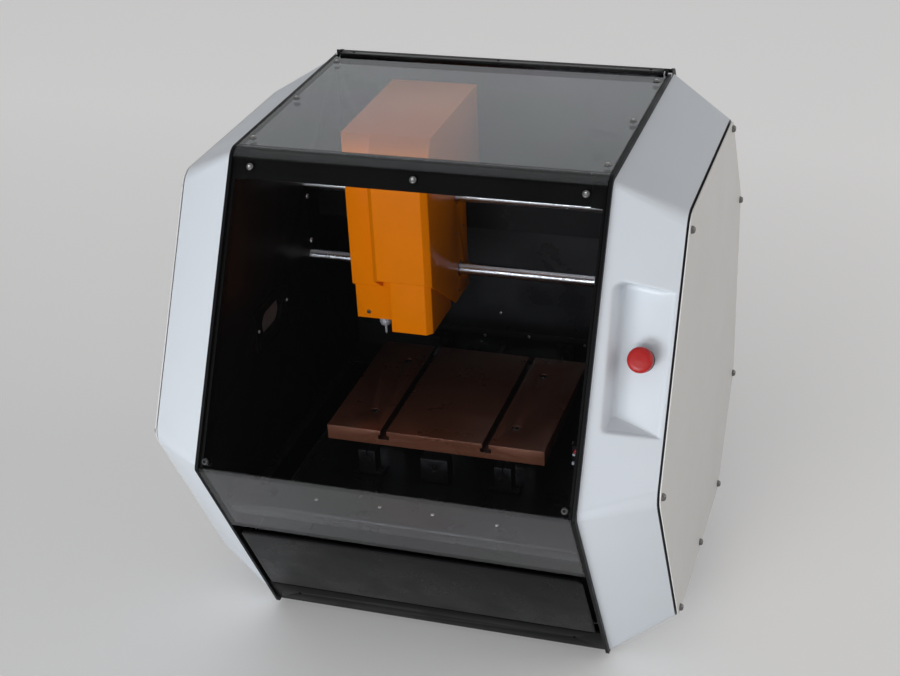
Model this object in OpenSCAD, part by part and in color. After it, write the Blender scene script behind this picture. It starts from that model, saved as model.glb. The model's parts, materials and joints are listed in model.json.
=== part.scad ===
/* [Enclosure] */
// Depth over the moulded side shells
body_d = 678; // [620:1:820]
// Height of the side shells, without the feet
body_h = 653; // [600:1:760]
// Clear width between the two side plates
bay_w = 457; // [380:1:560]
// Height of the rubber feet
foot_h = 6; // [4:1:20]
// Diameter of the rubber feet
foot_dia = 32; // [20:1:50]
// Height of the front crease above the bottom
crease_h = 324; // [280:1:380]
// Crease to the front edge of the top, measured back
top_front_in = 188; // [120:1:220]
// Rear face to the rear edge of the top
top_rear_in = 121; // [80:1:160]
// Crease to the front edge of the bottom, measured back
bottom_front_in = 176; // [120:1:220]
// Rear face to the rear edge of the bottom
bottom_rear_in = 142; // [100:1:160]
// Height of the lower edge of the upright rear face
rear_low_h = 159; // [120:1:200]
// Height of the upper edge of the upright rear face
rear_high_h = 477; // [420:1:540]

/* [Sheet metal] */
// Thickness of the steel side plates
plate_t = 4; // [3:0.5:6]
// Distance the side plates stand out past the shells
plate_lip = 6; // [3:0.5:10]
// Thickness of the bent panels and pans
sheet_t = 2; // [1.5:0.5:3]
// Inside radius of the bends in the pans
bend_r = 2; // [1:0.5:5]
// Height of the chamber floor above the bottom
floor_h = 213.5; // [190:0.5:230]
// Height of the front ledge above the bottom
ledge_h = 245; // [230:1:260]
// Depth of the front ledge
ledge_d = 65; // [50:1:90]
// Rear face of the machine to the chamber's rear wall
wall_in = 145; // [120:1:160]
// Height of the upright flange of the chamber pan
flange_h = 44; // [30:1:60]
// Width of each chip slot beside the table
chip_slot_w = 34; // [20:1:40]

/* [Side shells] */
// Width of each side shell
shell_w = 83.5; // [70:0.5:110]
// Wall thickness of the shells
shell_wall = 4; // [3:0.5:5]
// Inset of the outer rim at the top
rim_top = 45; // [35:1:60]
// Inset of the outer rim at the front
rim_front = 48; // [35:1:60]
// Inset of the outer rim at the bottom
rim_bottom = 51; // [35:1:60]
// Inset of the outer rim at the rear
rim_rear = 54; // [35:1:60]
// Radius of the shell's outline corners
shell_r = 14; // [8:1:18]
// Radius of the rim's corners
rim_r = 28; // [12:1:34]
// Thickness of the flat side covers
cover_t = 1.5; // [1:0.5:4]
// Width of the groove between the shell and the side cover
cover_gap = 2; // [1:0.1:3]
// Depth of that groove, measured in from the cover's edge
groove_d = 5; // [3:0.5:6]
// Inner edge of the ledge that the side cover rests on
cover_seat = 19; // [17:0.5:24]

/* [Stop button pocket] */
// Upper left corner of the pocket, from the shell's inner edge
pocket_x0 = 10.5; // [8:0.5:16]
// Shift of the lower left corner toward the right
pocket_lean = 4; // [0:0.5:8]
// Height of the pocket where its floor runs out of the shell
pocket_h = 144; // [120:1:160]
// Height of the pocket's lower edge there, above the bottom
pocket_z = 387; // [370:1:400]
// Rise of the lower edge toward the left end
pocket_rise = 20; // [10:0.5:26]
// Rise of the upper edge toward the left end
pocket_top_rise = 26; // [10:0.5:30]
// Depth of the pocket's floor below the front face
pocket_depth = 44.8; // [38:0.2:46]
// Corner radius of the pocket
pocket_r = 9; // [6:1:14]
// Radius between the pocket's walls and its floor
pocket_cove = 13; // [4:1:16]
// Wall thickness of the pocket
pocket_wall = 3.5; // [3:0.5:4]
// Diameter of the stop button's cap
stop_dia = 30; // [26:1:38]
// Diameter of the panel hole for the stop button
stop_hole = 22.6; // [22:0.1:24]
// Stroke of the stop button
stop_stroke = 4; // [3:0.5:5]
// Distance of the button from the shell's inner edge
stop_out = 47; // [42:1:52]
// Height of the button above the bottom
stop_h = 462; // [450:1:480]

/* [Hood] */
// Thickness of the smoked sheets
pane_t = 4; // [3:0.5:6]
// Outer radius of the bend at the hood's top front corner
hood_r = 20; // [12:1:30]
// Outer radius of the bend at the front crease
crease_r = 7; // [5:0.5:12]
// Gap between the hood and each side plate
hood_gap = 1; // [0.6:0.1:2]
// Hinge axis in front of the rear edge of the top
hinge_in = 21; // [18:0.5:40]
// Hinge axis behind the rear edge of the top pane
hinge_back = 10; // [9.5:0.5:16]
// Diameter of the hinge pins
hinge_pin = 6; // [4:0.5:8]
// Width of the hood's side rails
rail_d = 14; // [10:1:20]
// Thickness of the hood's side rails
rail_t = 3; // [2:0.5:4]
// Width of the rails' screw flanges
rail_flange = 17; // [14:1:24]
// Length of the hood below the front crease
hood_low = 137; // [110:1:145]
// Width of the dark cross band behind the front pane
band_w = 23; // [15:1:35]
// Diameter of the button heads on the hood
hood_screw = 8.6; // [6:0.2:9.5]

/* [Chip drawer] */
// Finger gap between the hood and the drawer front
finger_gap = 18; // [14:1:24]
// Length of the drawer front along the slope
drawer_front = 150; // [120:1:165]
// Gap at each side of the drawer front
drawer_gap = 6.5; // [4:0.5:10]
// Depth of the tray behind the drawer front
tray_d = 330; // [250:1:340]
// Height of the tray
tray_h = 112; // [80:1:120]
// Wall thickness of the tray
tray_t = 2; // [1.5:0.5:3]
// Gap between the tray and each side plate
tray_gap = 14; // [12:1:20]

/* [X axis] */
// Diameter of the cross rods
x_rod = 16; // [12:1:20]
// Rods' distance in front of the rear wall
x_rod_in = 146; // [130:1:160]
// Height of the upper cross rod above the bottom
x_rod_hi = 531; // [500:1:560]
// Height of the lower cross rod above the bottom
x_rod_lo = 426; // [400:1:440]
// Diameter of the cross screw
x_screw_dia = 12; // [8:1:16]
// Cross screw behind the rods
x_screw_back = 64; // [56:1:72]
// Height of the cross screw above the bottom
x_screw_h = 500; // [480:1:520]
// Distance of the carriage left of centre at rest
carriage_left = 75.5; // [-100:0.5:150]

/* [Z axis] */
// Width of the spindle housing's upper cover
cover_w = 117; // [110:1:130]
// Height of the top of the upper cover above the bottom
cover_top = 645; // [630:1:646]
// Wall thickness of the spindle covers
skin = 2; // [1.5:0.5:3]
// Width of each slide rail
z_rail = 12; // [9:1:15]
// Diameter of the Z screw
z_screw_dia = 8; // [6:1:12]

/* [Spindle] */
// Diameter of the spindle nose shaft
spindle_dia = 12; // [8:1:16]
// Diameter of the collet nut
nut_dia = 16; // [12:1:22]
// Diameter of the cutter
cutter_dia = 3.2; // [1:0.1:6]
// Length of cutter below the nut
cutter_out = 15; // [6:1:30]
// Diameter of the spindle pulley
pulley_dia = 22; // [18:1:24]

/* [Table and Y axis] */
// Width of the table
table_w = 289; // [220:1:300]
// Depth of the table
table_d = 232; // [200:1:240]
// Thickness of the table
table_t = 20.5; // [16:0.5:25]
// Height of the table top above the bottom
table_h = 280; // [278:0.5:290]
// Distance of each T-slot from the centre line
slot_x = 68; // [50:1:90]
// Width of the T-slot's mouth
slot_w = 8; // [6:0.5:10]
// Width of the T-slot's base
slot_base = 14; // [12:0.5:18]
// Diameter of the Y rods
y_rod = 12; // [10:1:16]
// Distance of each Y rod from the centre line
y_rod_x = 91; // [70:1:110]
// Height of the Y rods above the chamber floor
y_rod_up = 23; // [20:0.5:30]
// Diameter of the Y screw
y_screw_dia = 10; // [8:1:14]

/* [Fits] */
// Radial clearance of shafts and pins that turn or slide
run = 0.05; // [0.02:0.01:0.1]
// Clearance between faces that pass each other
clear = 0.5; // [0.3:0.1:1]
// Gap between a piece and the seat it rests on
seat = 0.3; // [0.2:0.05:0.5]

/* [Hidden] */
$fn = 48;
e = 0.01;
z0 = foot_h;
half_bay = bay_w / 2;
plate_x = half_bay + plate_t;
rim_x = plate_x + shell_w;
top_z = z0 + body_h;

// Side profile, seen along X: y forward is negative, corners run counter-clockwise
profile = [
    [body_d / 2 - top_rear_in, top_z],
    [-body_d / 2 + top_front_in, top_z],
    [-body_d / 2, z0 + crease_h],
    [-body_d / 2 + bottom_front_in, z0],
    [body_d / 2 - bottom_rear_in, z0],
    [body_d / 2, z0 + rear_low_h],
    [body_d / 2, z0 + rear_high_h]];
rim_in = [rim_top, rim_front, rim_front, rim_bottom, rim_rear, rim_rear, rim_rear];

function dir(a, b) = (b - a) / norm(b - a);
function out_of(a, b) = [dir(a, b)[1], -dir(a, b)[0]];
function meet(p, m, n, dm, dn) = let (det = m[0] * n[1] - m[1] * n[0])
    p + [dm * n[1] - dn * m[1], m[0] * dn - n[0] * dm] / det;
function before(i, n) = (i + n - 1) % n;
function after(i, n) = (i + 1) % n;
// Moves each side of a closed outline outward by its own distance
function grow(p, ds) = let (n = len(p)) [for (i = [0:n - 1])
    meet(p[i], out_of(p[before(i, n)], p[i]), out_of(p[i], p[after(i, n)]), ds[before(i, n)], ds[i])];
function grow_all(p, d) = grow(p, [for (q = p) d]);
// Points of the arc that rounds corner b between a and c
function arc_at(a, b, c, r, n) = let (
    u = dir(b, a), v = dir(b, c), half = acos(u * v) / 2,
    mid = b + dir([0, 0], u + v) * r / sin(half),
    s = b + u * r / tan(half) - mid,
    turn = (b[0] - a[0]) * (c[1] - b[1]) - (b[1] - a[1]) * (c[0] - b[0]) > 0 ? 1 : -1)
    [for (k = [0:n]) let (w = turn * (180 - 2 * half) * k / n)
        mid + [s[0] * cos(w) - s[1] * sin(w), s[0] * sin(w) + s[1] * cos(w)]];
function rounded_by(p, rs, n) = let (m = len(p))
    [for (i = [0:m - 1]) each arc_at(p[before(i, m)], p[i], p[after(i, m)], rs[i], n)];
function rounded(p, r, n) = rounded_by(p, [for (q = p) r], n);
function left_turn(a, b, c) = (b[0] - a[0]) * (c[1] - b[1]) - (b[1] - a[1]) * (c[0] - b[0]) > 0;
function bent(p, rl, rr, n) = let (m = len(p)) [p[0],
    for (i = [1:m - 2]) let (a = p[i - 1], b = p[i], c = p[i + 1])
        each arc_at(a, b, c, left_turn(a, b, c) ? rl : rr, n),
    p[m - 1]];
function shifted(p, d) = let (m = len(p)) [p[0] + out_of(p[0], p[1]) * d,
    for (i = [1:m - 2]) meet(p[i], out_of(p[i - 1], p[i]), out_of(p[i], p[i + 1]), d, d),
    p[m - 1] + out_of(p[m - 2], p[m - 1]) * d];
function flip(p) = [for (i = [len(p) - 1:-1:0]) p[i]];
// Section of a sheet of thickness t bent along a path, with inside radius r
function sheet(path, t, r, n = 6) = concat(bent(path, r, r + t, n), flip(bent(shifted(path, t), r + t, r, n)));
// Point on side i of the profile, s along it and d out of it
function on_side(i, s, d = 0) = let (a = profile[i], b = profile[after(i, 7)])
    a + dir(a, b) * s + out_of(a, b) * d;
function side_len(i) = norm(profile[after(i, 7)] - profile[i]);

module along_x(x, w) {
    translate([x, 0, 0])
        rotate([90, 0, 90])
            linear_extrude(w)
                children();
}

module across(w) {
    along_x(-w / 2, w)
        children();
}

// Stands children on side i of the profile, their z pointing out of it
module at_side(i, s, x, d = 0) {
    p = on_side(i, s, d);
    m = out_of(profile[i], profile[after(i, 7)]);
    translate([x, p[0], p[1]])
        rotate([atan2(-m[0], m[1]), 0, 0])
            children();
}

module rod_x(r, x, w) {
    translate([x, 0, 0])
        rotate([0, 90, 0])
            cylinder(r = r, h = w);
}

module rod_y(r, y, w) {
    translate([0, y, 0])
        rotate([-90, 0, 0])
            cylinder(r = r, h = w);
}

module block(x, y, z) {
    translate([x[0], y[0], z[0]])
        cube([x[1] - x[0], y[1] - y[0], z[1] - z[0]]);
}

// Low button head with a hexagon socket
module button(d = 7.6, h = 2.3) {
    difference() {
        cylinder(d1 = d, d2 = d * 0.62, h = h);
        translate([0, 0, h * 0.4])
            cylinder(d = d * 0.36, h = d, $fn = 6);
    }
}

module both_sides() {
    for (s = [-1, 1])
        scale_x(s)
            children();
}

module scale_x(s) {
    if (s > 0)
        children();
    else
        mirror([1, 0, 0])
            children();
}

plate_outline = grow(profile, [plate_lip, plate_lip, plate_lip, 0, plate_lip, plate_lip, plate_lip]);
plate_radii = [8, hood_r, crease_r, 6, 6, 8, 8];
front_y = -body_d / 2;
rear_y = body_d / 2;
wall_y = rear_y - wall_in;
wall_back = wall_y + sheet_t;
floor_z = z0 + floor_h;
ledge_z = z0 + ledge_h;
rod_at_y = wall_y - x_rod_in;
rod_hi = z0 + x_rod_hi;
rod_lo = z0 + x_rod_lo;
x_screw_y = rod_at_y + x_screw_back;
x_screw_z = z0 + x_screw_h;
cx = -carriage_left;
carriage_z0 = rod_lo - 30;
carriage_z1 = rod_hi + 61;
plate_front = rod_at_y - 26;
hinge_y = profile[0][0] - hinge_in;
hinge_z = top_z + plate_lip - 2;
pane_rear = hinge_y - hinge_back;
ear_r = 6;
bar_back = 9;
bar_top = 5.5;
pane_x = half_bay - hood_gap;

module base_pan() {
    path = [on_side(2, side_len(2) - 58), profile[3], profile[4], on_side(4, 200)];
    color("#3a3b3d")
        across(bay_w)
            polygon(sheet(shifted(path, -sheet_t - 1), sheet_t + 1, bend_r));
}

module feet() {
    color("#1b1b1c")
        for (x = [-1, 1], y = [profile[3][0] + 28, profile[4][0] - 28])
            translate([x * (half_bay - 30), y, 0])
                cylinder(d1 = foot_dia - 4, d2 = foot_dia, h = foot_h);
}

// One flat side plate with its bores; side is -1 on the left and 1 on the right
module side_plate(side) {
    x = side < 0 ? -plate_x : half_bay;
    color("#1d1e20")
        difference() {
            along_x(x, plate_t)
                polygon(rounded_by(plate_outline, plate_radii, 8));
            translate([0, hinge_y, hinge_z])
                rod_x(hinge_pin / 2, x - 1, plate_t + 2);
            for (z = [rod_hi, rod_lo])
                translate([0, rod_at_y, z])
                    rod_x(x_rod / 2 + e, x - 1, plate_t + 2);
            if (side > 0)
                translate([0, x_screw_y, x_screw_z])
                    rod_x(x_boss / 2, x - 1, plate_t + 2);
            if (side < 0)
                port_hole(x - 1, plate_t + 2);
        }
}

port_y = wall_y - 297;
port_z = z0 + 407;
port_l = 65;
port_hh = 32;
x_boss = 38;
motor_w = 57;

module port_hole(x, w) {
    along_x(x, w)
        translate([port_y, port_z]) {
            square([port_l - port_hh, port_hh], center = true);
            for (s = [-1, 1])
                translate([s * (port_l - port_hh) / 2, 0])
                    circle(d = port_hh);
        }
}

module left_side_plate() side_plate(-1);
module right_side_plate() side_plate(1);

module port_frame() {
    color("#26272a")
        difference() {
            along_x(-half_bay, 3)
                translate([port_y + 3, port_z])
                    square([106, 58], center = true);
            port_hole(-half_bay - 1, 5);
            for (y = [-47, 47], z = [-23, 23])
                translate([0, port_y + 3 + y, port_z + z])
                    rod_x(1.6, -half_bay - 1, 5);
        }
}

module rear_panel() {
    path = [on_side(4, 1), profile[5], profile[6], profile[0], [hinge_y + bar_back, top_z]];
    color("#2a2b2d")
        difference() {
            across(bay_w)
                polygon(sheet(path, 3, bend_r, 4));
            block([inlet_x - inlet_w / 2, inlet_x + inlet_w / 2], [rear_y - 9, rear_y + 9],
                [inlet_z - inlet_hh / 2, inlet_z + inlet_hh / 2]);
            block([switch_x - switch_w / 2, switch_x + switch_w / 2], [rear_y - 9, rear_y + 9],
                [inlet_z - switch_hh / 2, inlet_z + switch_hh / 2]);
            for (k = [0:8])
                block([60, 150], [rear_y - 9, rear_y + 9], [z0 + 190 + k * 12, z0 + 195 + k * 12]);
        }
}

inlet_x = -150;
inlet_z = z0 + 200;
inlet_w = 27;
inlet_hh = 20;
switch_x = -105;
switch_w = 13;
switch_hh = 19;
switch_tilt = 8;

module power_inlet() {
    color("#18181a")
        difference() {
            union() {
                block([inlet_x - 24, inlet_x + 24], [rear_y + 3, rear_y + 6], [inlet_z - 13, inlet_z + 13]);
                block([switch_x - 10, switch_x + 10], [rear_y + 3, rear_y + 5], [inlet_z - 13, inlet_z + 13]);
                block([inlet_x - inlet_w / 2 + 0.2, inlet_x + inlet_w / 2 - 0.2], [rear_y - 22, rear_y + 3],
                    [inlet_z - inlet_hh / 2 + 0.2, inlet_z + inlet_hh / 2 - 0.2]);
            }
            block([inlet_x - 11, inlet_x + 11], [rear_y - 14, rear_y + 7], [inlet_z - 7.5, inlet_z + 7.5]);
            block([switch_x - switch_w / 2, switch_x + switch_w / 2], [rear_y, rear_y + 9],
                [inlet_z - switch_hh / 2, inlet_z + switch_hh / 2]);
        }
    color("#c9cacc")
        for (x = [-7, 0, 7])
            block([inlet_x + x - 1, inlet_x + x + 1], [rear_y - 14.5, rear_y], [inlet_z - 2.5, inlet_z + 2.5]);
}

// Rocker in its slot, tipped about a pin across X
module power_switch() {
    color("#202124")
        translate([switch_x, rear_y - 2, inlet_z])
            rotate([-switch_tilt, 0, 0])
                intersection() {
                    rod_x(10.5, -switch_w / 2 + seat, switch_w - 2 * seat);
                    block([-switch_w, switch_w], [-6, 12], [-switch_hh / 2 + 1.5, switch_hh / 2 - 1.5]);
                }
}

module front_strip() {
    color("#2b2c2e")
        difference() {
            along_x(-half_bay, bay_w)
                polygon([on_side(2, 308, 0), on_side(2, 358, 0), on_side(2, 358, 3), on_side(2, 308, 3)]);
            for (x = [-190, 190])
                at_side(2, 333, x, -1)
                    cylinder(d = 4.5, h = 6);
        }
}

lip_in = 3;
lip_s = (ledge_z - profile[2][1] + lip_in * out_of(profile[2], profile[3])[1]) / dir(profile[2], profile[3])[1];
lip_y = on_side(2, lip_s, -lip_in)[0];
step_at = lip_y + ledge_d;

module chamber_pan() {
    path = [on_side(2, lip_s + 26, -lip_in), on_side(2, lip_s, -lip_in), [step_at, ledge_z],
        [step_at, floor_z], [wall_y - sheet_t, floor_z], [wall_y - sheet_t, floor_z + flange_h]];
    color("#4a4b4e")
        difference() {
            across(bay_w)
                polygon(flip(sheet(path, sheet_t, bend_r, 4)));
            for (s = [-1, 1])
                translate([s * (half_bay - 14 - chip_slot_w / 2), 0, 0])
                    block([-chip_slot_w / 2, chip_slot_w / 2], [step_at + 40, wall_y - 60],
                        [floor_z - 5, floor_z + 5]);
            for (s = [-1, 1])
                translate([s * (half_bay - 2), 0, 0])
                    block([-4, 4], [front_y, lip_y + rail_d + 4], [ledge_z - 60, ledge_z + 5]);
            translate([0, 0, y_screw_z])
                rod_y(y_screw_dia / 2 + 4, wall_y - 5, 10);
        }
}

y_screw_z = floor_z + y_rod_up;

module rear_wall() {
    color("#3c3d40")
        difference() {
            union() {
                block([-half_bay, half_bay], [wall_y, wall_back], [floor_z - sheet_t, hinge_z - 12]);
                block([-half_bay + 20, half_bay - 20], [wall_y, wall_back],
                    [hinge_z - 13, hinge_z + bar_top - 2.5]);
            }
            translate([0, 0, y_screw_z])
                rod_y(y_screw_dia / 2 + 4, wall_y - 5, 10);
        }
}

// Fixed bar across the rear of the top, notched for the hood's ears
module hinge_bar() {
    y1 = hinge_y + bar_back;
    z1 = hinge_z + bar_top;
    color("#17181a")
        difference() {
            union() {
                block([-half_bay + 6, half_bay - 6], [hinge_y - 7, y1], [hinge_z - 5, z1]);
                block([-half_bay, half_bay], [hinge_y + ear_r + clear, y1], [hinge_z - 5, z1]);
                block([-plate_x, plate_x], [hinge_y + ear_r + clear, y1], [top_z + plate_lip, z1]);
            }
            block([-half_bay + 20, half_bay - 20], [hinge_y - 5, y1 - 2], [hinge_z - 6, z1 - 2.5]);
            for (x = [-205, 0, 205])
                translate([x, hinge_y + 1, hinge_z])
                    cylinder(d = 4.5, h = 20);
        }
}

module hinge_pins() {
    color("#b9babd")
        both_sides()
            translate([0, hinge_y, hinge_z]) {
                rod_x(hinge_pin / 2, half_bay - hood_gap - rail_t - 1.4, plate_t + hood_gap + rail_t + 1.4);
                rod_x(hinge_pin / 2 + 1.5, half_bay - hood_gap - rail_t - 2, 1.6);
            }
}

rim = grow(profile, -rim_in);

module slice(p, x, r) {
    along_x(x, 0.2)
        polygon(rounded(p, r, 6));
}

// Where the pocket's floor runs out through the sloping face, from the shell's inner edge
pocket_out = pocket_depth * shell_w / rim_front;
pocket_over = 18;

// Pocket outline in the plane at depth d below the front face, y up the slope
function pocket_at(d) = let (
    u = dir(profile[1], profile[2]), n = out_of(profile[1], profile[2]),
    x0 = pocket_x0, x1 = pocket_out + pocket_over, w = pocket_out - pocket_x0,
    low = z0 + pocket_z, high = low + pocket_h,
    a = pocket_rise / w, b = pocket_top_rise / w,
    corners = [[x0 + pocket_lean, low + a * (w - pocket_lean)], [x1, low - a * pocket_over],
        [x1, high - b * pocket_over], [x0, high + b * w]])
    [for (p = corners) [plate_x + p[0], (top_z - p[1] - n[1] * d) / u[1]]];

module pocket_slice(d, inset, r) {
    at_side(1, 0, 0, -d)
        linear_extrude(0.1)
            polygon(rounded(grow_all(pocket_at(d), -inset), r, 6));
}

// Cutter of the pocket grown by g: straight walls, then a cove down to the floor
module pocket(g = 0) {
    hull() {
        pocket_slice(-8, -g, pocket_r + g);
        for (a = [0:22.5:90])
            pocket_slice(pocket_depth + g - pocket_cove * (1 - cos(a)), pocket_cove * (1 - sin(a)) - g,
                pocket_r + g - (pocket_r - 3) * (1 - sin(a)));
    }
}

shell_end = rim_x - cover_t - cover_gap;
shell_edge = grow(profile, -rim_in * (shell_end - plate_x) / shell_w);

// Moulded right shell; the left one is its mirror without the pocket
module shell(with_pocket) {
    difference() {
        union() {
            difference() {
                shell_solid();
                hull() {
                    slice(grow_all(profile, -shell_wall), plate_x - 1, shell_r - shell_wall);
                    slice(grow_all(shell_edge, -shell_wall), shell_end - shell_wall, rim_r - shell_wall);
                }
            }
            along_x(shell_end - e, cover_gap + e)
                polygon(rounded(grow_all(rim, -groove_d), rim_r - groove_d, 8));
            if (with_pocket)
                intersection() {
                    shell_solid();
                    pocket(pocket_wall);
                }
        }
        if (with_pocket) {
            pocket();
            at_stop()
                cylinder(d = stop_hole, h = 20, center = true);
        }
        along_x(shell_end - shell_wall - 1, shell_wall + cover_gap + 2)
            polygon(rounded(grow_all(rim, -cover_seat), 10, 4));
    }
}

module shell_solid() {
    hull() {
        slice(profile, plate_x, shell_r);
        slice(shell_edge, shell_end - 0.2, rim_r);
    }
}

stop_x = plate_x + stop_out;
stop_s = (profile[1][1] - z0 - stop_h - pocket_depth * out_of(profile[1], profile[2])[1])
    / -dir(profile[1], profile[2])[1];

module left_shell() {
    color("#e6e7e9")
        mirror([1, 0, 0])
            shell(false);
}

module right_shell() {
    color("#e6e7e9")
        shell(true);
}

module side_cover() {
    color("#e2e3e5")
        along_x(rim_x - cover_t, cover_t)
            polygon(rounded(rim, rim_r, 8));
}

module right_side_cover() side_cover();
module left_side_cover() mirror([1, 0, 0]) side_cover();

screw_in = 11;
screw_low = 10;
cover_corners = grow_all(rim, -screw_in);
cover_points = [for (i = [0:6]) cover_corners[i] + (i == 1 ? screw_low : 0) * dir(rim[1], rim[2]),
    (cover_corners[3] + cover_corners[4]) / 2];

module cover_screws() {
    color("#8f9093")
        both_sides()
            for (c = cover_points)
                translate([rim_x, c[0], c[1]])
                    rotate([0, 90, 0])
                        button(9.5, 4.2);
}

module at_stop() {
    at_side(1, stop_s, stop_x, -pocket_depth)
        children();
}

module stop_base() {
    color("#2a2b2d")
        at_stop()
            difference() {
                union() {
                    translate([0, 0, -pocket_wall - 26])
                        cylinder(d = stop_hole - 0.4, h = pocket_wall + 26);
                    cylinder(d1 = stop_dia - 2, d2 = stop_dia - 6, h = 6);
                    translate([0, 0, -pocket_wall - 4])
                        cylinder(d = stop_hole + 6, h = 4);
                }
                translate([0, 0, -20])
                    cylinder(r = 5 + run, h = 40);
            }
}

module stop_plunger() {
    color("#d9d9d7")
        at_stop() {
            translate([0, 0, -14])
                cylinder(r = 5, h = 26);
            translate([0, 0, 6.4 + stop_stroke])
                cylinder(d = stop_dia - 8, h = 3);
            translate([0, 0, 9])
                cylinder(r = 4, h = 12);
        }
}

module stop_cap() {
    r = stop_dia / 2;
    z = 9.4 + stop_stroke + seat;
    color("#c8262b")
        at_stop()
            difference() {
                translate([0, 0, z])
                    rotate_extrude()
                        polygon([[0, 0], [r - 1.5, 0], [r, 1.5], [r, 5.5], [r - 0.8, 8], [r - 3, 10],
                            [r - 6, 11], [0, 11.6]]);
                translate([0, 0, z - 1])
                    cylinder(r = 4 + run, h = 22.5 - z);
            }
}

pane_out = grow_all(profile, plate_lip);
pane_in = plate_lip - pane_t;
corner_turn = acos(dir(profile[0], profile[1]) * dir(profile[1], profile[2]));
seam_y = pane_out[1][0] + hood_r * tan(corner_turn / 2) + 1;

// Line of the hood at distance d out of the profile
function hood_line(d, y_end, s_end) = let (
    p = grow_all(profile, d), r = max(hood_r - plate_lip + d, 1), q = max(crease_r - plate_lip + d, 1))
    concat([[y_end, top_z + d]], arc_at(p[0], p[1], p[2], r, 8), arc_at(p[1], p[2], p[3], q, 4),
        [on_side(2, s_end, d)]);
function hood_band_of(d0, d1, y_end, s_end) =
    concat(hood_line(d0, y_end, s_end), flip(hood_line(d1, y_end, s_end)));
// The same line cut short on the front slope
function bend_line(d, y_end, s_end) = let (
    p = grow_all(profile, d), r = max(hood_r - plate_lip + d, 1))
    concat([[y_end, top_z + d]], arc_at(p[0], p[1], p[2], r, 8), [on_side(1, s_end, d)]);
function hood_bend_of(d0, d1, y_end, s_end) =
    concat(bend_line(d0, y_end, s_end), flip(bend_line(d1, y_end, s_end)));

module hood_rails() {
    color("#18191b")
        both_sides()
            difference() {
                union() {
                    along_x(pane_x - rail_t, rail_t) {
                        polygon(hood_band_of(pane_in, pane_in - rail_d, pane_rear, hood_low - 2));
                        translate([hinge_y, hinge_z])
                            circle(r = ear_r);
                        polygon([[pane_rear - 10, top_z + pane_in], [pane_rear - 10, top_z + pane_in - rail_d],
                            [hinge_y, hinge_z - ear_r], [hinge_y - 4, top_z + pane_in]]);
                    }
                    along_x(pane_x - rail_flange, rail_flange - rail_t + e)
                        polygon(hood_band_of(pane_in, pane_in - sheet_t, pane_rear, hood_low - 2));
                }
                translate([0, hinge_y, hinge_z])
                    rod_x(hinge_pin / 2 + run, pane_x - rail_t - 1, rail_t + 2);
            }
}

module top_pane() {
    color("#5a6068", 0.5)
        block([-pane_x, pane_x], [seam_y + 0.4, pane_rear], [top_z + pane_in, top_z + plate_lip]);
}

module front_pane() {
    color("#4e545c", 0.5)
        across(2 * pane_x)
            polygon(hood_band_of(plate_lip, pane_in, seam_y, hood_low));
}

band_x = pane_x - rail_flange - seat;
band_s = 19;

// Dark sheet behind the bend, from the seam down to just below the screws
module hood_band() {
    color("#141517")
        across(2 * band_x)
            polygon(hood_bend_of(pane_in, pane_in - sheet_t, seam_y + 1, band_s + band_w / 2));
}

hood_screw_y = [pane_rear - 21, (pane_rear + seam_y) / 2, seam_y + 24];

module hood_screws() {
    color("#3a3b3e") {
        both_sides() {
            for (y = hood_screw_y)
                translate([pane_x - 9, y, top_z + plate_lip])
                    button(hood_screw);
            at_side(1, side_len(1) - 8, pane_x - 8, plate_lip)
                button(hood_screw);
        }
        for (x = [-band_x + 6, 0, band_x - 6])
            at_side(1, band_s - 2, x, plate_lip)
                button(hood_screw);
    }
}

drawer_s0 = hood_low + finger_gap;
drawer_x = half_bay - drawer_gap;
tray_a = on_side(2, drawer_s0 + 4, pane_in);
tray_b = on_side(2, drawer_s0 + drawer_front - 5, pane_in);
tray_rear = tray_b[0] + tray_d;
tray_x = half_bay - tray_gap;

module tray_front() {
    color("#202123")
        at_side(2, drawer_s0, 0, pane_in)
            linear_extrude(pane_t)
                polygon(rounded([[-drawer_x, -drawer_front], [drawer_x, -drawer_front],
                    [drawer_x, 0], [-drawer_x, 0]], 7, 6));
}

module tray() {
    z1 = tray_b[1] + tray_h;
    n = out_of(profile[2], profile[3]);
    color("#55575a")
        difference() {
            across(2 * tray_x)
                polygon([tray_a, tray_b, [tray_rear, tray_b[1]], [tray_rear, z1], [tray_a[0] + 16, z1],
                    [tray_a[0] + 6, tray_a[1]]]);
            across(2 * (tray_x - tray_t))
                polygon([tray_a - n * tray_t + [-20, 36.8], tray_b - n * tray_t + [0, tray_t],
                    [tray_rear - tray_t, tray_b[1] + tray_t], [tray_rear - tray_t, z1 + 50]]);
        }
}

module drawer_runners() {
    z = tray_b[1] - seat;
    color("#9a9b9e")
        both_sides() {
            block([tray_x - 10, half_bay], [tray_b[0] + 14, tray_rear - 6], [z - sheet_t, z]);
            block([half_bay - sheet_t, half_bay], [tray_b[0] + 14, tray_rear - 6], [z - e, z + 22]);
        }
}

module x_rods() {
    color("#c9ccd0")
        for (z = [rod_hi, rod_lo])
            translate([0, rod_at_y, z])
                rod_x(x_rod / 2, -plate_x - clamp_t, 2 * (plate_x + clamp_t));
}

clamp_t = 14;
clamp_screw = 21;

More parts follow.
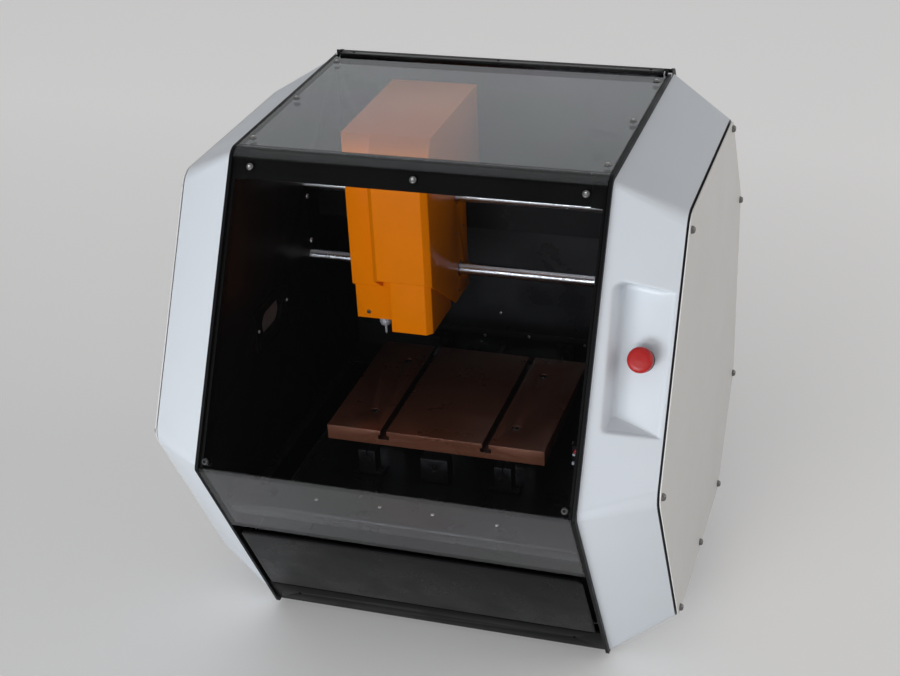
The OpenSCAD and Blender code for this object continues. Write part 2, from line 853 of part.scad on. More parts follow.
// Upright flange clamps that hold the cross rods on the outside of the side plates
module rod_flanges() {
    color("#9b9da1")
        both_sides()
            for (z = [rod_hi, rod_lo])
                difference() {
                    union() {
                        along_x(plate_x, clamp_t / 2)
                            translate([rod_at_y, z])
                                polygon(rounded([[-14, -27], [14, -27], [14, 27], [-14, 27]], 8, 5));
                        translate([0, rod_at_y, z])
                            rod_x(x_rod / 2 + 5.5, plate_x, clamp_t);
                    }
                    translate([0, rod_at_y, z])
                        rod_x(x_rod / 2 + e, plate_x - 1, clamp_t + 2);
                    for (s = [-clamp_screw, clamp_screw])
                        translate([0, rod_at_y, z + s])
                            rod_x(2.7, plate_x - 1, clamp_t + 2);
                }
}

module motor_body(w, l) {
    c = w * 0.1;
    linear_extrude(l)
        polygon([[c - w / 2, -w / 2], [w / 2 - c, -w / 2], [w / 2, c - w / 2], [w / 2, w / 2 - c],
            [w / 2 - c, w / 2], [c - w / 2, w / 2], [-w / 2, w / 2 - c], [-w / 2, c - w / 2]]);
}

module x_motor() {
    color("#2b2d31")
        difference() {
            translate([plate_x, x_screw_y, x_screw_z])
                rotate([0, 90, 0]) {
                    motor_body(motor_w, 50);
                    translate([0, 0, -plate_t])
                        cylinder(r = x_boss / 2, h = plate_t);
                }
            translate([0, x_screw_y, x_screw_z])
                rod_x(4, plate_x - plate_t - 1, 20);
        }
}

// Cross screw with its coupling and journal; it turns in the left bearing
module x_screw() {
    color("#b4b7bb")
        translate([0, x_screw_y, x_screw_z]) {
            rod_x(x_screw_dia / 2, -half_bay + 22, bay_w - 60);
            rod_x(4, -half_bay + 2, 30);
            rod_x(12.5, half_bay - 46, 32);
            rod_x(3.2, half_bay - 15, plate_t + 25);
        }
}

// Bare panel in front of the cross screw, with the screw's end bearing behind it
module screw_shroud() {
    y = rod_at_y + 40;
    z1 = x_screw_z + 24;
    color("#1e1f22") {
        difference() {
            block([-half_bay, half_bay], [y, y + 3], [x_screw_z - 33, z1]);
            block([-half_bay + 20, half_bay - 20], [y - 1, y + 1], [x_screw_z - 34, x_screw_z - 31]);
        }
        both_sides()
            block([half_bay - 3, half_bay], [y + 3 - e, y + 18], [x_screw_z - 33, z1]);
        difference() {
            block([-half_bay + 3, -half_bay + 21], [x_screw_y - 18, x_screw_y + 18],
                [x_screw_z - 20, x_screw_z + 20]);
            translate([0, x_screw_y, x_screw_z])
                rod_x(4 + run, -half_bay, 40);
        }
    }
}

table_y = wall_y - 222;
table_z = z0 + table_h;
table_under = table_z - table_t;
front_block_y = wall_y - 333;
rear_block_y = wall_y - 18;

module y_rods() {
    color("#c9ccd0")
        for (s = [-1, 1])
            translate([s * y_rod_x, 0, y_screw_z])
                rod_y(y_rod / 2, front_block_y - 10, wall_y - sheet_t - front_block_y + 10);
}

module y_rod_block(x, y, w) {
    difference() {
        union() {
            block([x - w / 2, x + w / 2], [y - 10, y + 10], [floor_z, floor_z + 6]);
            block([x - 11, x + 11], [y - 10, y + 10], [floor_z, y_screw_z + 14.5]);
        }
        translate([x, 0, y_screw_z])
            rod_y(y_rod / 2 + 0.01, y - 11, 22);
        for (s = [-1, 1])
            translate([x + s * (w / 2 - 5), y, floor_z - 1])
                cylinder(d = 4.5, h = 8);
        block([x - 0.6, x + 0.6], [y - 11, y + 11], [y_screw_z + y_rod / 2 - 1, y_screw_z + 20]);
    }
}

module y_rod_blocks() {
    color("#a5a7ab") {
        for (s = [-1, 1]) {
            y_rod_block(s * y_rod_x, front_block_y, 42);
            y_rod_block(s * y_rod_x, rear_block_y, 50);
        }
        difference() {
            block([-18, 18], [front_block_y - 10, front_block_y + 10], [floor_z, y_screw_z + 13.5]);
            translate([0, 0, y_screw_z])
                rod_y(4 + run, front_block_y - 11, 22);
        }
    }
}

module y_motor() {
    color("#2b2d31")
        difference() {
            translate([0, wall_back, y_screw_z])
                rotate([-90, 0, 0])
                    motor_body(motor_w, 52);
            translate([0, 0, y_screw_z])
                rod_y(4, wall_back - 1, 20);
        }
}

module y_screw() {
    color("#b4b7bb")
        translate([0, 0, y_screw_z]) {
            rod_y(4, front_block_y - 9, 24);
            rod_y(y_screw_dia / 2, front_block_y + 11, wall_y - front_block_y - 12);
            rod_y(3.2, wall_y - 2, 18);
        }
}

module table() {
    color("#c96a24")
        difference() {
            block([-table_w / 2, table_w / 2], [table_y - table_d / 2, table_y + table_d / 2],
                [table_under, table_z]);
            for (s = [-1, 1]) {
                block([s * slot_x - slot_w / 2, s * slot_x + slot_w / 2],
                    [table_y - table_d, table_y + table_d], [table_z - slot_deep, table_z + 1]);
                block([s * slot_x - slot_base / 2, s * slot_x + slot_base / 2],
                    [table_y - table_d, table_y + table_d],
                    [table_z - slot_deep, table_z - slot_deep + slot_foot]);
            }
            for (x = [-96, 96], y = [-68.5, 68.5])
                translate([x, table_y + y, table_under - 1]) {
                    cylinder(d = 6.6, h = table_t + 2);
                    translate([0, 0, table_t - 5.5])
                        cylinder(d = 11, h = 10);
                }
        }
}

slot_deep = 12.5;
slot_foot = 6;
saddle_t = 8;
saddle_z = table_under - saddle_t;

module saddle() {
    color("#6c6e72")
        block([-112, 112], [table_y - 82, table_y + 82], [saddle_z, table_under]);
}

// Linear bearings under the saddle, with the nut of the Y screw between them
module y_bearings() {
    color("#8d8f94") {
        for (s = [-1, 1], y = [-24, 24])
            difference() {
                block([s * y_rod_x - 21, s * y_rod_x + 21], [table_y + y - 18, table_y + y + 18],
                    [y_screw_z - 15.5, saddle_z]);
                translate([s * y_rod_x, 0, y_screw_z])
                    rod_y(y_rod / 2 + run, table_y + y - 19, 38);
            }
        difference() {
            block([-20, 20], [table_y - 14, table_y + 14], [y_screw_z - 14, saddle_z]);
            translate([0, 0, y_screw_z])
                rod_y(y_screw_dia / 2 + run, table_y - 15, 30);
        }
    }
}

// Limit switch on a post at the right of the table
module limit_post() {
    x = 172;
    y = table_y - 61;
    color("#a6a8ab") {
        block([x - 9, x + 7], [y - 10, y + 10], [floor_z, floor_z + 3]);
        block([x + 3, x + 5], [y - 9, y + 9], [floor_z + 3 - e, floor_z + 52]);
    }
    color("#2b2c2e") {
        block([x - 4, x + 3], [y - 7, y + 7], [floor_z + 27, floor_z + 50]);
        block([x - 2.5, x + 3], [y - 9, y - 2], [floor_z + 8, floor_z + 24]);
        translate([x - 4.6, y - 5, floor_z + 30])
            rotate([-8, 0, 0])
                cube([0.9, 0.8, 24]);
    }
}

plate_back = plate_front + 8;
inner_half = cover_w / 2 - skin;
z_axis_y = plate_front - 2.5;
rail_off = 36;
lower_half = inner_half - clear;
cover_z1 = z0 + cover_top;
cover_z0 = rod_lo - 39;
cover_f = plate_front - 68;
cover_r = rod_at_y + 103;
step_y = rod_at_y + 35;
step_z = x_screw_z + 27;
raised = 31;
bevel_h = raised * (profile[1][1] - profile[2][1]) / top_front_in;
raised_x = cx - cover_w / 2 + 39;
sx = cx - 26.5;
sy = plate_front - 41;
mx = cx + 29.5;
my = plate_front - 55;
drive_z = cover_z0 + 107;

// Carriage plate that rides on the cross rods and carries the Z slide
module carriage() {
    color("#77797d")
        difference() {
            union() {
                block([cx - inner_half, cx + inner_half], [plate_front, plate_back],
                    [carriage_z0, carriage_z1]);
                block([cx - 26, cx + 26], [z_axis_y - 21, z_axis_y + 24],
                    [carriage_z1, carriage_z1 + 5]);
                block([cx - 12, cx + 12], [plate_front - 12, plate_front + e],
                    [carriage_z0 + 1, carriage_z0 + 10]);
            }
            block([cx - 14, cx + 14], [plate_front - 1, plate_back + 1],
                [carriage_z0 + 10.5, rod_hi + 19]);
            block([cx - 6, cx + 6], [plate_front - 1, plate_front + 3], [rod_hi + 18, carriage_z1 + 6]);
            translate([cx, z_axis_y, carriage_z0])
                cylinder(r = 3 + run, h = 12);
            translate([cx, z_axis_y, carriage_z1 - 1])
                cylinder(r = z_screw_dia / 2 + 1, h = 8);
        }
}

// Four bearings on the cross rods and the arm that reaches the cross screw
module x_bearings() {
    color("#8d8f94") {
        for (z = [rod_lo, rod_hi], s = [-1, 1])
            difference() {
                block([cx + s * 26 - 25, cx + s * 26 + 25], [plate_back, rod_at_y + 18], [z - 22, z + 22]);
                translate([0, rod_at_y, z])
                    rod_x(x_rod / 2 + run, cx + s * 26 - 26, 52);
            }
        difference() {
            union() {
                block([cx - 15, cx + 15], [plate_back, x_screw_y + 14], [rod_hi + 23, rod_hi + 35]);
                block([cx - 15, cx + 15], [x_screw_y - 14, x_screw_y + 14], [x_screw_z - 14, rod_hi + 23 + e]);
            }
            translate([0, x_screw_y, x_screw_z])
                rod_x(x_screw_dia / 2 + run, cx - 16, 32);
        }
    }
}

// Outer form of the upper cover, drawn in by g
module cover_mass(g) {
    along_x(cx - cover_w / 2 + g, cover_w - 2 * g)
        polygon(grow_all([[cover_r, cover_z1], [cover_f, cover_z1], [cover_f, 200], [cover_r, 200]], -g));
    intersection() {
        along_x(cx - cover_w / 2, cover_w)
            polygon(grow_all([[cover_r, cover_z1], [cover_f, cover_z1], [cover_f - raised, cover_z1 - bevel_h],
                [cover_f - raised, 200], [cover_r, 200]], -g));
        linear_extrude(cover_z1 + 10)
            polygon(grow_all([[raised_x, cover_r], [raised_x, cover_f - raised + 7.5],
                [raised_x + 7.5, cover_f - raised], [cx + cover_w / 2 - 7.5, cover_f - raised],
                [cx + cover_w / 2, cover_f - raised + 7.5], [cx + cover_w / 2, cover_r]], -g));
    }
}

module upper_cover() {
    color("#f2760a")
        difference() {
            intersection() {
                cover_mass(0);
                across(2000)
                    polygon([[cover_f - 60, cover_z1 + 9], [cover_f - 60, cover_z0 + 94],
                        [plate_front, cover_z0], [step_y, cover_z0], [step_y, step_z],
                        [cover_r + 9, step_z], [cover_r + 9, cover_z1 + 9]]);
            }
            cover_mass(skin);
            for (z = [rod_lo, rod_hi])
                translate([0, rod_at_y, z])
                    rod_x(x_rod / 2 + 3, cx - cover_w, 2 * cover_w);
        }
}

module z_rails() {
    color("#c4c7cb")
        for (s = [-1, 1])
            block([cx + s * rail_off - z_rail / 2, cx + s * rail_off + z_rail / 2],
                [plate_front - 8, plate_front], [carriage_z0, carriage_z1]);
}

module z_motor() {
    color("#2b2d31")
        translate([cx, z_axis_y, carriage_z1 + 5])
            difference() {
                motor_body(42, 40);
                translate([0, 0, -1])
                    cylinder(r = 4.2, h = 19);
            }
}

module z_screw() {
    color("#b4b7bb")
        translate([cx, z_axis_y, 0]) {
            translate([0, 0, carriage_z0 + 2])
                cylinder(r = 3, h = 12);
            translate([0, 0, carriage_z0 + 11])
                cylinder(d = z_screw_dia, h = carriage_z1 + 20 - carriage_z0 - 11);
        }
}

// Z plate with its four rail blocks and the nut of the Z screw
module z_plate() {
    z = (carriage_z0 + carriage_z1) / 2;
    color("#6f7175")
        difference() {
            union() {
                block([cx - lower_half + skin, cx + lower_half - skin], [plate_front - 21, plate_front - 13],
                    [cover_z0 + 4, z + 66]);
                for (s = [-1, 1], k = [-3, 43])
                    block([cx + s * rail_off - 13.5, cx + s * rail_off + 13.5],
                        [plate_front - 13 - e, plate_front - 3], [z + k - 21, z + k + 21]);
                block([cx - 13, cx + 13], [plate_front - 13 - e, plate_back - 0.5],
                    [z - 15, z + 15]);
            }
            for (s = [-1, 1])
                block([cx + s * rail_off - z_rail / 2 - seat, cx + s * rail_off + z_rail / 2 + seat],
                    [plate_front - 8 - seat, plate_front], [z - 60, z + 90]);
            translate([cx, z_axis_y, z - 20])
                cylinder(r = z_screw_dia / 2 + run, h = 40);
        }
}

lower_top = cover_z0 + 148;

// Outline of the lower cover seen from above
lower_plan = [[cx - lower_half, plate_front - 13], [cx - lower_half, cover_f + 3], [cx + 2.5, cover_f + 3],
    [cx + 2.5, cover_f - raised + 3], [cx + lower_half - 7, cover_f - raised + 3],
    [cx + lower_half, cover_f - raised + 10], [cx + lower_half, plate_front - 13]];

module lower_cover() {
    color("#f2760a")
        difference() {
            translate([0, 0, cover_z0])
                linear_extrude(lower_top - cover_z0)
                    polygon(lower_plan);
            translate([0, 0, cover_z0 + skin])
                linear_extrude(lower_top)
                    polygon(grow_open(lower_plan));
            translate([sx, sy, cover_z0 - 1])
                cylinder(r = nut_dia / 2 + 1.5, h = 5);
        }
}

// The plan drawn in by the skin, but open at the rear
function grow_open(p) = let (q = grow_all(p, -skin), n = len(p) - 1)
    [for (i = [0:n]) i == 0 || i == n ? [q[i][0], p[i][1] + 1] : q[i]];

module spindle_block() {
    color("#7a7c80")
        difference() {
            union() {
                block([sx - 22, sx + 22], [sy - 22, plate_front - 21], [cover_z0 + 4, drive_z]);
                block([sx - 22, sx + 22], [sy - 22, plate_front - 21], [drive_z - e, drive_z + 4]);
                block([sx + 20, mx + 21], [sy - 22, plate_front - 21], [drive_z, drive_z + 4]);
                block([cx + 6, mx + 21], [my - 21, sy - 21], [drive_z, drive_z + 4]);
            }
            translate([sx, sy, cover_z0])
                cylinder(d = spindle_dia + 2 * run, h = 200);
            translate([mx, my, drive_z - 1])
                cylinder(r = 11, h = 6);
        }
}

module spindle_motor() {
    color("#2b2d31")
        translate([mx, my, drive_z - 58])
            difference() {
                motor_body(42, 58);
                translate([0, 0, 40])
                    cylinder(r = 2.5 + run, h = 20);
            }
}

module pulley(r) {
    cylinder(r = r + 1.4, h = 1.5);
    cylinder(r = r, h = 15);
    translate([0, 0, 13.5])
        cylinder(r = r + 1.4, h = 1.5);
}

module motor_pulley() {
    color("#a9abaf")
        translate([mx, my, drive_z]) {
            translate([0, 0, -14])
                cylinder(r = 2.5, h = 22);
            translate([0, 0, 7])
                pulley(pulley_dia / 2);
        }
}

module drive_belt() {
    color("#151516")
        translate([0, 0, drive_z + 9.5])
            linear_extrude(10)
                difference() {
                    belt_loop(pulley_dia / 2 + 1.3);
                    belt_loop(pulley_dia / 2 + 0.12);
                }
}

module belt_loop(r) {
    hull() {
        translate([sx, sy])
            circle(r = r);
        translate([mx, my])
            circle(r = r);
    }
}

// Spindle shaft with its pulley, nose and slotted collet nut
module spindle() {
    r = spindle_dia / 2;
    color("#b9bcc0")
        translate([sx, sy, 0])
            difference() {
                union() {
                    translate([0, 0, cover_z0 - 3])
                        cylinder(r = r, h = 150);
                    translate([0, 0, drive_z + 7])
                        pulley(pulley_dia / 2);
                    translate([0, 0, cover_z0 - 19])
                        cylinder(d1 = nut_dia - 3, d2 = nut_dia, h = 4);
                    translate([0, 0, cover_z0 - 15])
                        cylinder(d = nut_dia, h = 15);
                }
                translate([0, 0, cover_z0 - 20])
                    cylinder(r = cutter_dia / 2 + 0.01, h = 16);
                for (a = [0:60:300])
                    rotate([0, 0, a])
                        translate([nut_dia / 2, 0, cover_z0 - 12])
                            cylinder(r = 1.2, h = 9);
            }
}

module cutter() {
    color("#d5d8dc")
        translate([sx, sy, cover_z0 - 19 - cutter_out]) {
            cylinder(d1 = 0.4, d2 = cutter_dia, h = 3);
            translate([0, 0, 3 - e])
                cylinder(d = cutter_dia, h = cutter_out + 11);
        }
}

module supply() {
    z = z0 + sheet_t + 1;
    color("#a3a5a8")
        block([-190, 10], [profile[4][0] - 54, profile[4][0] - 6], [z, z + 98]);
}

module control_board() {
    color("#1f5a3c")
        block([-180, -40], [wall_back + 8, wall_back + 10], [floor_z + 80, floor_z + 180]);
    color("#c4c7cb")
        for (x = [-172, -48], z = [floor_z + 88, floor_z + 172])
            translate([x, 0, z])
                rod_y(3, wall_back, 8);
    color("#2b2c2e")
        for (x = [-170, -140, -110])
            block([x, x + 22], [wall_back + 10, wall_back + 20], [floor_z + 100, floor_z + 112]);
}

base_pan();
feet();
left_side_plate();
right_side_plate();
rear_panel();
front_strip();
chamber_pan();
rear_wall();
hinge_bar();
hinge_pins();
left_shell();
right_shell();
left_side_cover();
right_side_cover();
cover_screws();
port_frame();
drawer_runners();
stop_base();
stop_plunger();
stop_cap();
hood_rails();
top_pane();
front_pane();
hood_band();
hood_screws();
tray();
tray_front();
x_rods();
rod_flanges();
x_motor();
x_screw();
screw_shroud();
y_rods();
y_rod_blocks();
y_motor();
y_screw();
table();
saddle();
y_bearings();
limit_post();
carriage();
x_bearings();
upper_cover();
z_rails();
z_motor();
z_screw();
z_plate();
lower_cover();
spindle_block();
spindle_motor();
motor_pulley();
drive_belt();
spindle();
cutter();
power_inlet();
power_switch();
supply();
control_board();
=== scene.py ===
import bpy
import bmesh
import json
import math
from mathutils import Euler, Matrix, Vector


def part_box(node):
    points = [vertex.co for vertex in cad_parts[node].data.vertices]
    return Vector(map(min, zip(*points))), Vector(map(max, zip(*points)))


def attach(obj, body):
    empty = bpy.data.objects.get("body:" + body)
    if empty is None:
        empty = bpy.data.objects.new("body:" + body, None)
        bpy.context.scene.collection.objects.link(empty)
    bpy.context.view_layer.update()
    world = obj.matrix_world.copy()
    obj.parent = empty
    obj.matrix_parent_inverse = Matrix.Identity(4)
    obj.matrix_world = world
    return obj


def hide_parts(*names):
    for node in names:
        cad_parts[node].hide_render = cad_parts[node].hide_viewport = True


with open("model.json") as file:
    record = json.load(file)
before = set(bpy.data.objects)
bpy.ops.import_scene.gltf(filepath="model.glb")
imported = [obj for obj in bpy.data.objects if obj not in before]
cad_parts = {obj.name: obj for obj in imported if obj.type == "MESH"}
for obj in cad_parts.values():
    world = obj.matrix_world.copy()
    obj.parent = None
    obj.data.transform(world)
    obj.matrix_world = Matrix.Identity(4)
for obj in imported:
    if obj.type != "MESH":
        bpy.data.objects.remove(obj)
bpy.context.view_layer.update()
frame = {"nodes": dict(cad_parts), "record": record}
nodes = frame["nodes"]
bodyOf = {}
for bodyName, members in frame["record"]["behaviour"]["bodies"].items():
    for member in members:
        bodyOf[member] = bodyName
scene = bpy.context.scene
print("frame loaded:", len(nodes), "nodes")


# puts a link or a fixed number into a node's input
def feed(tree, slot, item):
    if isinstance(item, Value):
        tree.links.new(item.socket, slot)
    else:
        slot.default_value = item


# a node's output that can be used in plain arithmetic
class Value:
    def __init__(self, tree, socket):
        self.tree = tree
        self.socket = socket

    def math(self, operation, other=None, swapped=False):
        step = self.tree.nodes.new("ShaderNodeMath")
        step.operation = operation
        pair = (other, self) if swapped else (self, other)
        for slot, item in zip(step.inputs, pair):
            if item is not None:
                feed(self.tree, slot, item)
        return Value(self.tree, step.outputs[0])

    def __add__(self, other):
        return self.math("ADD", other)

    def __radd__(self, other):
        return self.math("ADD", other, True)

    def __sub__(self, other):
        return self.math("SUBTRACT", other)

    def __rsub__(self, other):
        return self.math("SUBTRACT", other, True)

    def __mul__(self, other):
        return self.math("MULTIPLY", other)

    def __rmul__(self, other):
        return self.math("MULTIPLY", other, True)

    def __pow__(self, other):
        return self.math("POWER", other)

    def __gt__(self, other):
        return self.math("GREATER_THAN", other)

    def __lt__(self, other):
        return self.math("LESS_THAN", other)


# a node tree and its output node; add() makes any node from its type, settings and inputs
class Graph:
    def __init__(self, tree, output):
        self.tree = tree
        tree.nodes.clear()
        self.output = tree.nodes.new(output)

    # an input is given by name, or by number as i0, i1 and so on
    def add(self, kind, settings=None, out=0, **inputs):
        node = self.tree.nodes.new(kind)
        for key, value in (settings or {}).items():
            setattr(node, key, value)
        for key, value in inputs.items():
            numbered = key[0] == "i" and key[1:].isdigit()
            feed(self.tree, node.inputs[int(key[1:]) if numbered else key.replace("_", " ")], value)
        return Value(self.tree, node.outputs[out])

    def show(self, value, slot="Surface"):
        self.tree.links.new(value.socket, self.output.inputs[slot])


# one material, and the patterns that its surface is made of
class Finish(Graph):
    def __init__(self, name):
        self.material = bpy.data.materials.new(name)
        self.material.use_nodes = True
        super().__init__(self.material.node_tree, "ShaderNodeOutputMaterial")
        self.place = self.add("ShaderNodeTexCoord", out="Object")

    def along(self, axis):
        return self.add("ShaderNodeSeparateXYZ", out=axis, Vector=self.place)

    def noise(self, scale, detail=2.0, roughness=0.5, stretch=(1, 1, 1)):
        place = self.place
        if stretch != (1, 1, 1):
            place = self.add("ShaderNodeMapping", Vector=place, Scale=stretch)
        return self.add("ShaderNodeTexNoise", Vector=place, Scale=scale, Detail=detail, Roughness=roughness)

    # the middle band of a value, spread over a new range
    def spread(self, value, band, toLow, toHigh):
        return self.add("ShaderNodeMapRange", Value=value, From_Min=band[0], From_Max=band[1],
            To_Min=toLow, To_Max=toHigh)

    def blend(self, mask, colourA, colourB):
        pair = [item if isinstance(item, Value) else (*item, 1) for item in (colourA, colourB)]
        return self.add("ShaderNodeMix", {"data_type": "RGBA"}, 2, i0=mask, i6=pair[0], i7=pair[1])

    # a colour that wanders slowly between a darker and a lighter tone
    def drifting(self, colour, drift, pattern):
        mask = self.spread(self.noise(*pattern), patterns["toneBand"], 0.0, 1.0)
        return self.blend(mask, shade(colour, 1 - drift), shade(colour, 1 + drift))

    def bump(self, height, strength, distance):
        return self.add("ShaderNodeBump", Height=height, Strength=strength, Distance=distance)

    def surface(self, **inputs):
        self.show(self.add("ShaderNodeBsdfPrincipled", **inputs))


def shade(colour, factor):
    return tuple(min(1.0, c * factor) for c in colour)


# noises as scale, detail and roughness, and the part of a noise's range that reaches its full effect
patterns = {
    "coatDrift": (9.0, 3.0), "metalDrift": (12.0, 2.0), "smudges": (18.0, 4.0, 0.6),
    "film": (7.0, 5.0, 0.65), "haze": (45.0, 3.0),
    "toneBand": (0.35, 0.65), "glossBand": (0.3, 0.7), "filmBand": (0.4, 0.7),
}
# what the coated finishes share: relief, second gloss layer, and the painted shade of a groove and of a gap
coatLook = {"relief": 0.2, "grainDetail": 1.0, "coatRough": 0.15, "groove": (0.006, 0.006, 0.006),
    "gapShade": (0.001, 0.001, 0.001)}


# moulded or coated surface: fine grain in the relief, slow drift in tone, a few smudges in the gloss
def coated(name, colour, rough, grain=(2400.0, 0.00003), drift=0.06, metallic=0.0, coat=0.0, smudge=0.08,
        gleam=0.5, shadeBeyond=None, shadeBelow=None, slots=None):
    skin = Finish(name)
    grainScale, grainHeight = grain
    fine = skin.noise(grainScale, coatLook["grainDetail"])
    tone = skin.drifting(colour, drift, patterns["coatDrift"])
    smudges = skin.noise(*patterns["smudges"])
    gloss = skin.spread(smudges, patterns["glossBand"], rough - smudge, rough + smudge)
    # painted shade: beyond this x, in the groove round a side cover, the surface is near black
    if shadeBeyond:
        tone = skin.blend(skin.along("X").math("ABSOLUTE") > shadeBeyond, tone, coatLook["groove"])
    if slots:
        across = (skin.along("X").math("ABSOLUTE") - slots["middle"]).math("ABSOLUTE")
        height = skin.along("Z")
        inSlot = 0.0
        for half, low, high in slots["steps"]:
            inSlot = (across < half) * (height > low) * (height < high) + inSlot
        # painted shade: the table's top face is darker than its edges, and its slots darker still
        tone = skin.blend(height > slots["face"], tone, shade(colour, slots["topShade"]))
        tone = skin.blend(inSlot.math("MINIMUM", 1.0), tone, shade(colour, slots["slotShade"]))
    # painted shade: below this z the surface is near black and has no gloss, a painted shadow
    if shadeBelow:
        below = skin.along("Z") < shadeBelow
        tone = skin.blend(below, tone, coatLook["gapShade"])
        gloss = gloss.math("MAXIMUM", below)
    skin.surface(Base_Color=tone, Roughness=gloss, Metallic=metallic, Coat_Weight=coat,
        Coat_Roughness=coatLook["coatRough"], Specular_IOR_Level=gleam,
        Normal=skin.bump(fine, coatLook["relief"], grainHeight))
    return skin.material


# what the metal finishes share: detail and roughness of the lines, relief, and the gloss that follows them
metalLook = {"lines": (2.0, 0.6), "relief": 0.5, "smoothest": 0.75, "roughest": 1.3}


# ground or brushed metal: fine marks, drawn out into lines or rings by the stretch of their noise
def brushed(name, colour, rough, stretch, lineScale=900.0, height=0.00002, drift=0.05):
    skin = Finish(name)
    lines = skin.noise(lineScale, *metalLook["lines"], stretch)
    tone = skin.drifting(colour, drift, patterns["metalDrift"])
    gloss = skin.spread(lines, patterns["glossBand"], rough * metalLook["smoothest"],
        rough * metalLook["roughest"])
    skin.surface(Base_Color=tone, Roughness=gloss, Metallic=1.0,
        Normal=skin.bump(lines, metalLook["relief"], height))
    return skin.material


# what the panes share: mirror seen square on, its growth at a slant, film colours, painted shade of a seam,
# roughest gloss
paneLook = {"square": 0.04, "growth": 5.0, "film": ((0.88, 0.92, 0.90), (0.87, 0.84, 0.92)),
    "edge": (0.003, 0.003, 0.003), "roughest": 1.8}


# smoked sheet: each face tints what is behind it and mirrors a little, more so at a slant
def smoked(name, tint, haze, rough, shadeBefore=-9.0):
    skin = Finish(name)
    film = skin.spread(skin.noise(*patterns["film"]), patterns["filmBand"], 0.0, 1.0)
    facing = skin.add("ShaderNodeLayerWeight", out="Facing", Blend=0.5)
    clear = skin.add("ShaderNodeBsdfTransparent", Color=(*tint, 1))
    # painted shade: in front of this y the pane is an opaque near-black mirror, the shade of the seam
    edge = skin.along("Y") < shadeBefore
    colour = skin.blend(edge, skin.blend(film, *paneLook["film"]), paneLook["edge"])
    haziness = skin.noise(*patterns["haze"])
    gloss = skin.spread(haziness, patterns["glossBand"], rough, rough * paneLook["roughest"])
    mirror = skin.add("ShaderNodeBsdfPrincipled", Metallic=1.0, Base_Color=colour, Roughness=gloss)
    slanted = facing ** paneLook["growth"] * (1 - paneLook["square"])
    share = (slanted + film * haze + paneLook["square"]).math("MAXIMUM", edge)
    skin.show(skin.add("ShaderNodeMixShader", i0=share, i1=clear, i2=mirror))
    skin.material.surface_render_method = "BLENDED"
    return skin.material


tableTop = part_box("table")[1][2]
# the table's slots: middle of each, height of the face, painted shade on the top face and in the slots
# as shares of the colour, and each step's half width, foot and top
tableSlots = {"middle": 0.068, "face": tableTop - 0.0004, "topShade": 0.62, "slotShade": 0.20, "steps": [
    (0.0043, tableTop - 0.0128, tableTop - 0.0006), (0.0073, tableTop - 0.0128, tableTop - 0.0062)]}
shellEnd = 0.3121    # where the shells end and the painted shade of the groove round the side covers starts, in x
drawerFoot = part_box("tray_front")[0][2] + 0.0042    # the drawer front is painted with the shadow of the gap beneath it up to here, in z
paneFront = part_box("top_pane")[0][1] + 0.0013    # the top pane carries the painted shade of the seam from its front edge up to here, in y
softGrain = (2400.0, 0.00002)    # scale and height of a shallower grain
# stretches that turn a noise into grinding marks round a rod, by the rod's axis
roundRod = {"x": (1, 0.02, 0.02), "y": (0.02, 1, 0.02), "z": (0.02, 0.02, 1)}

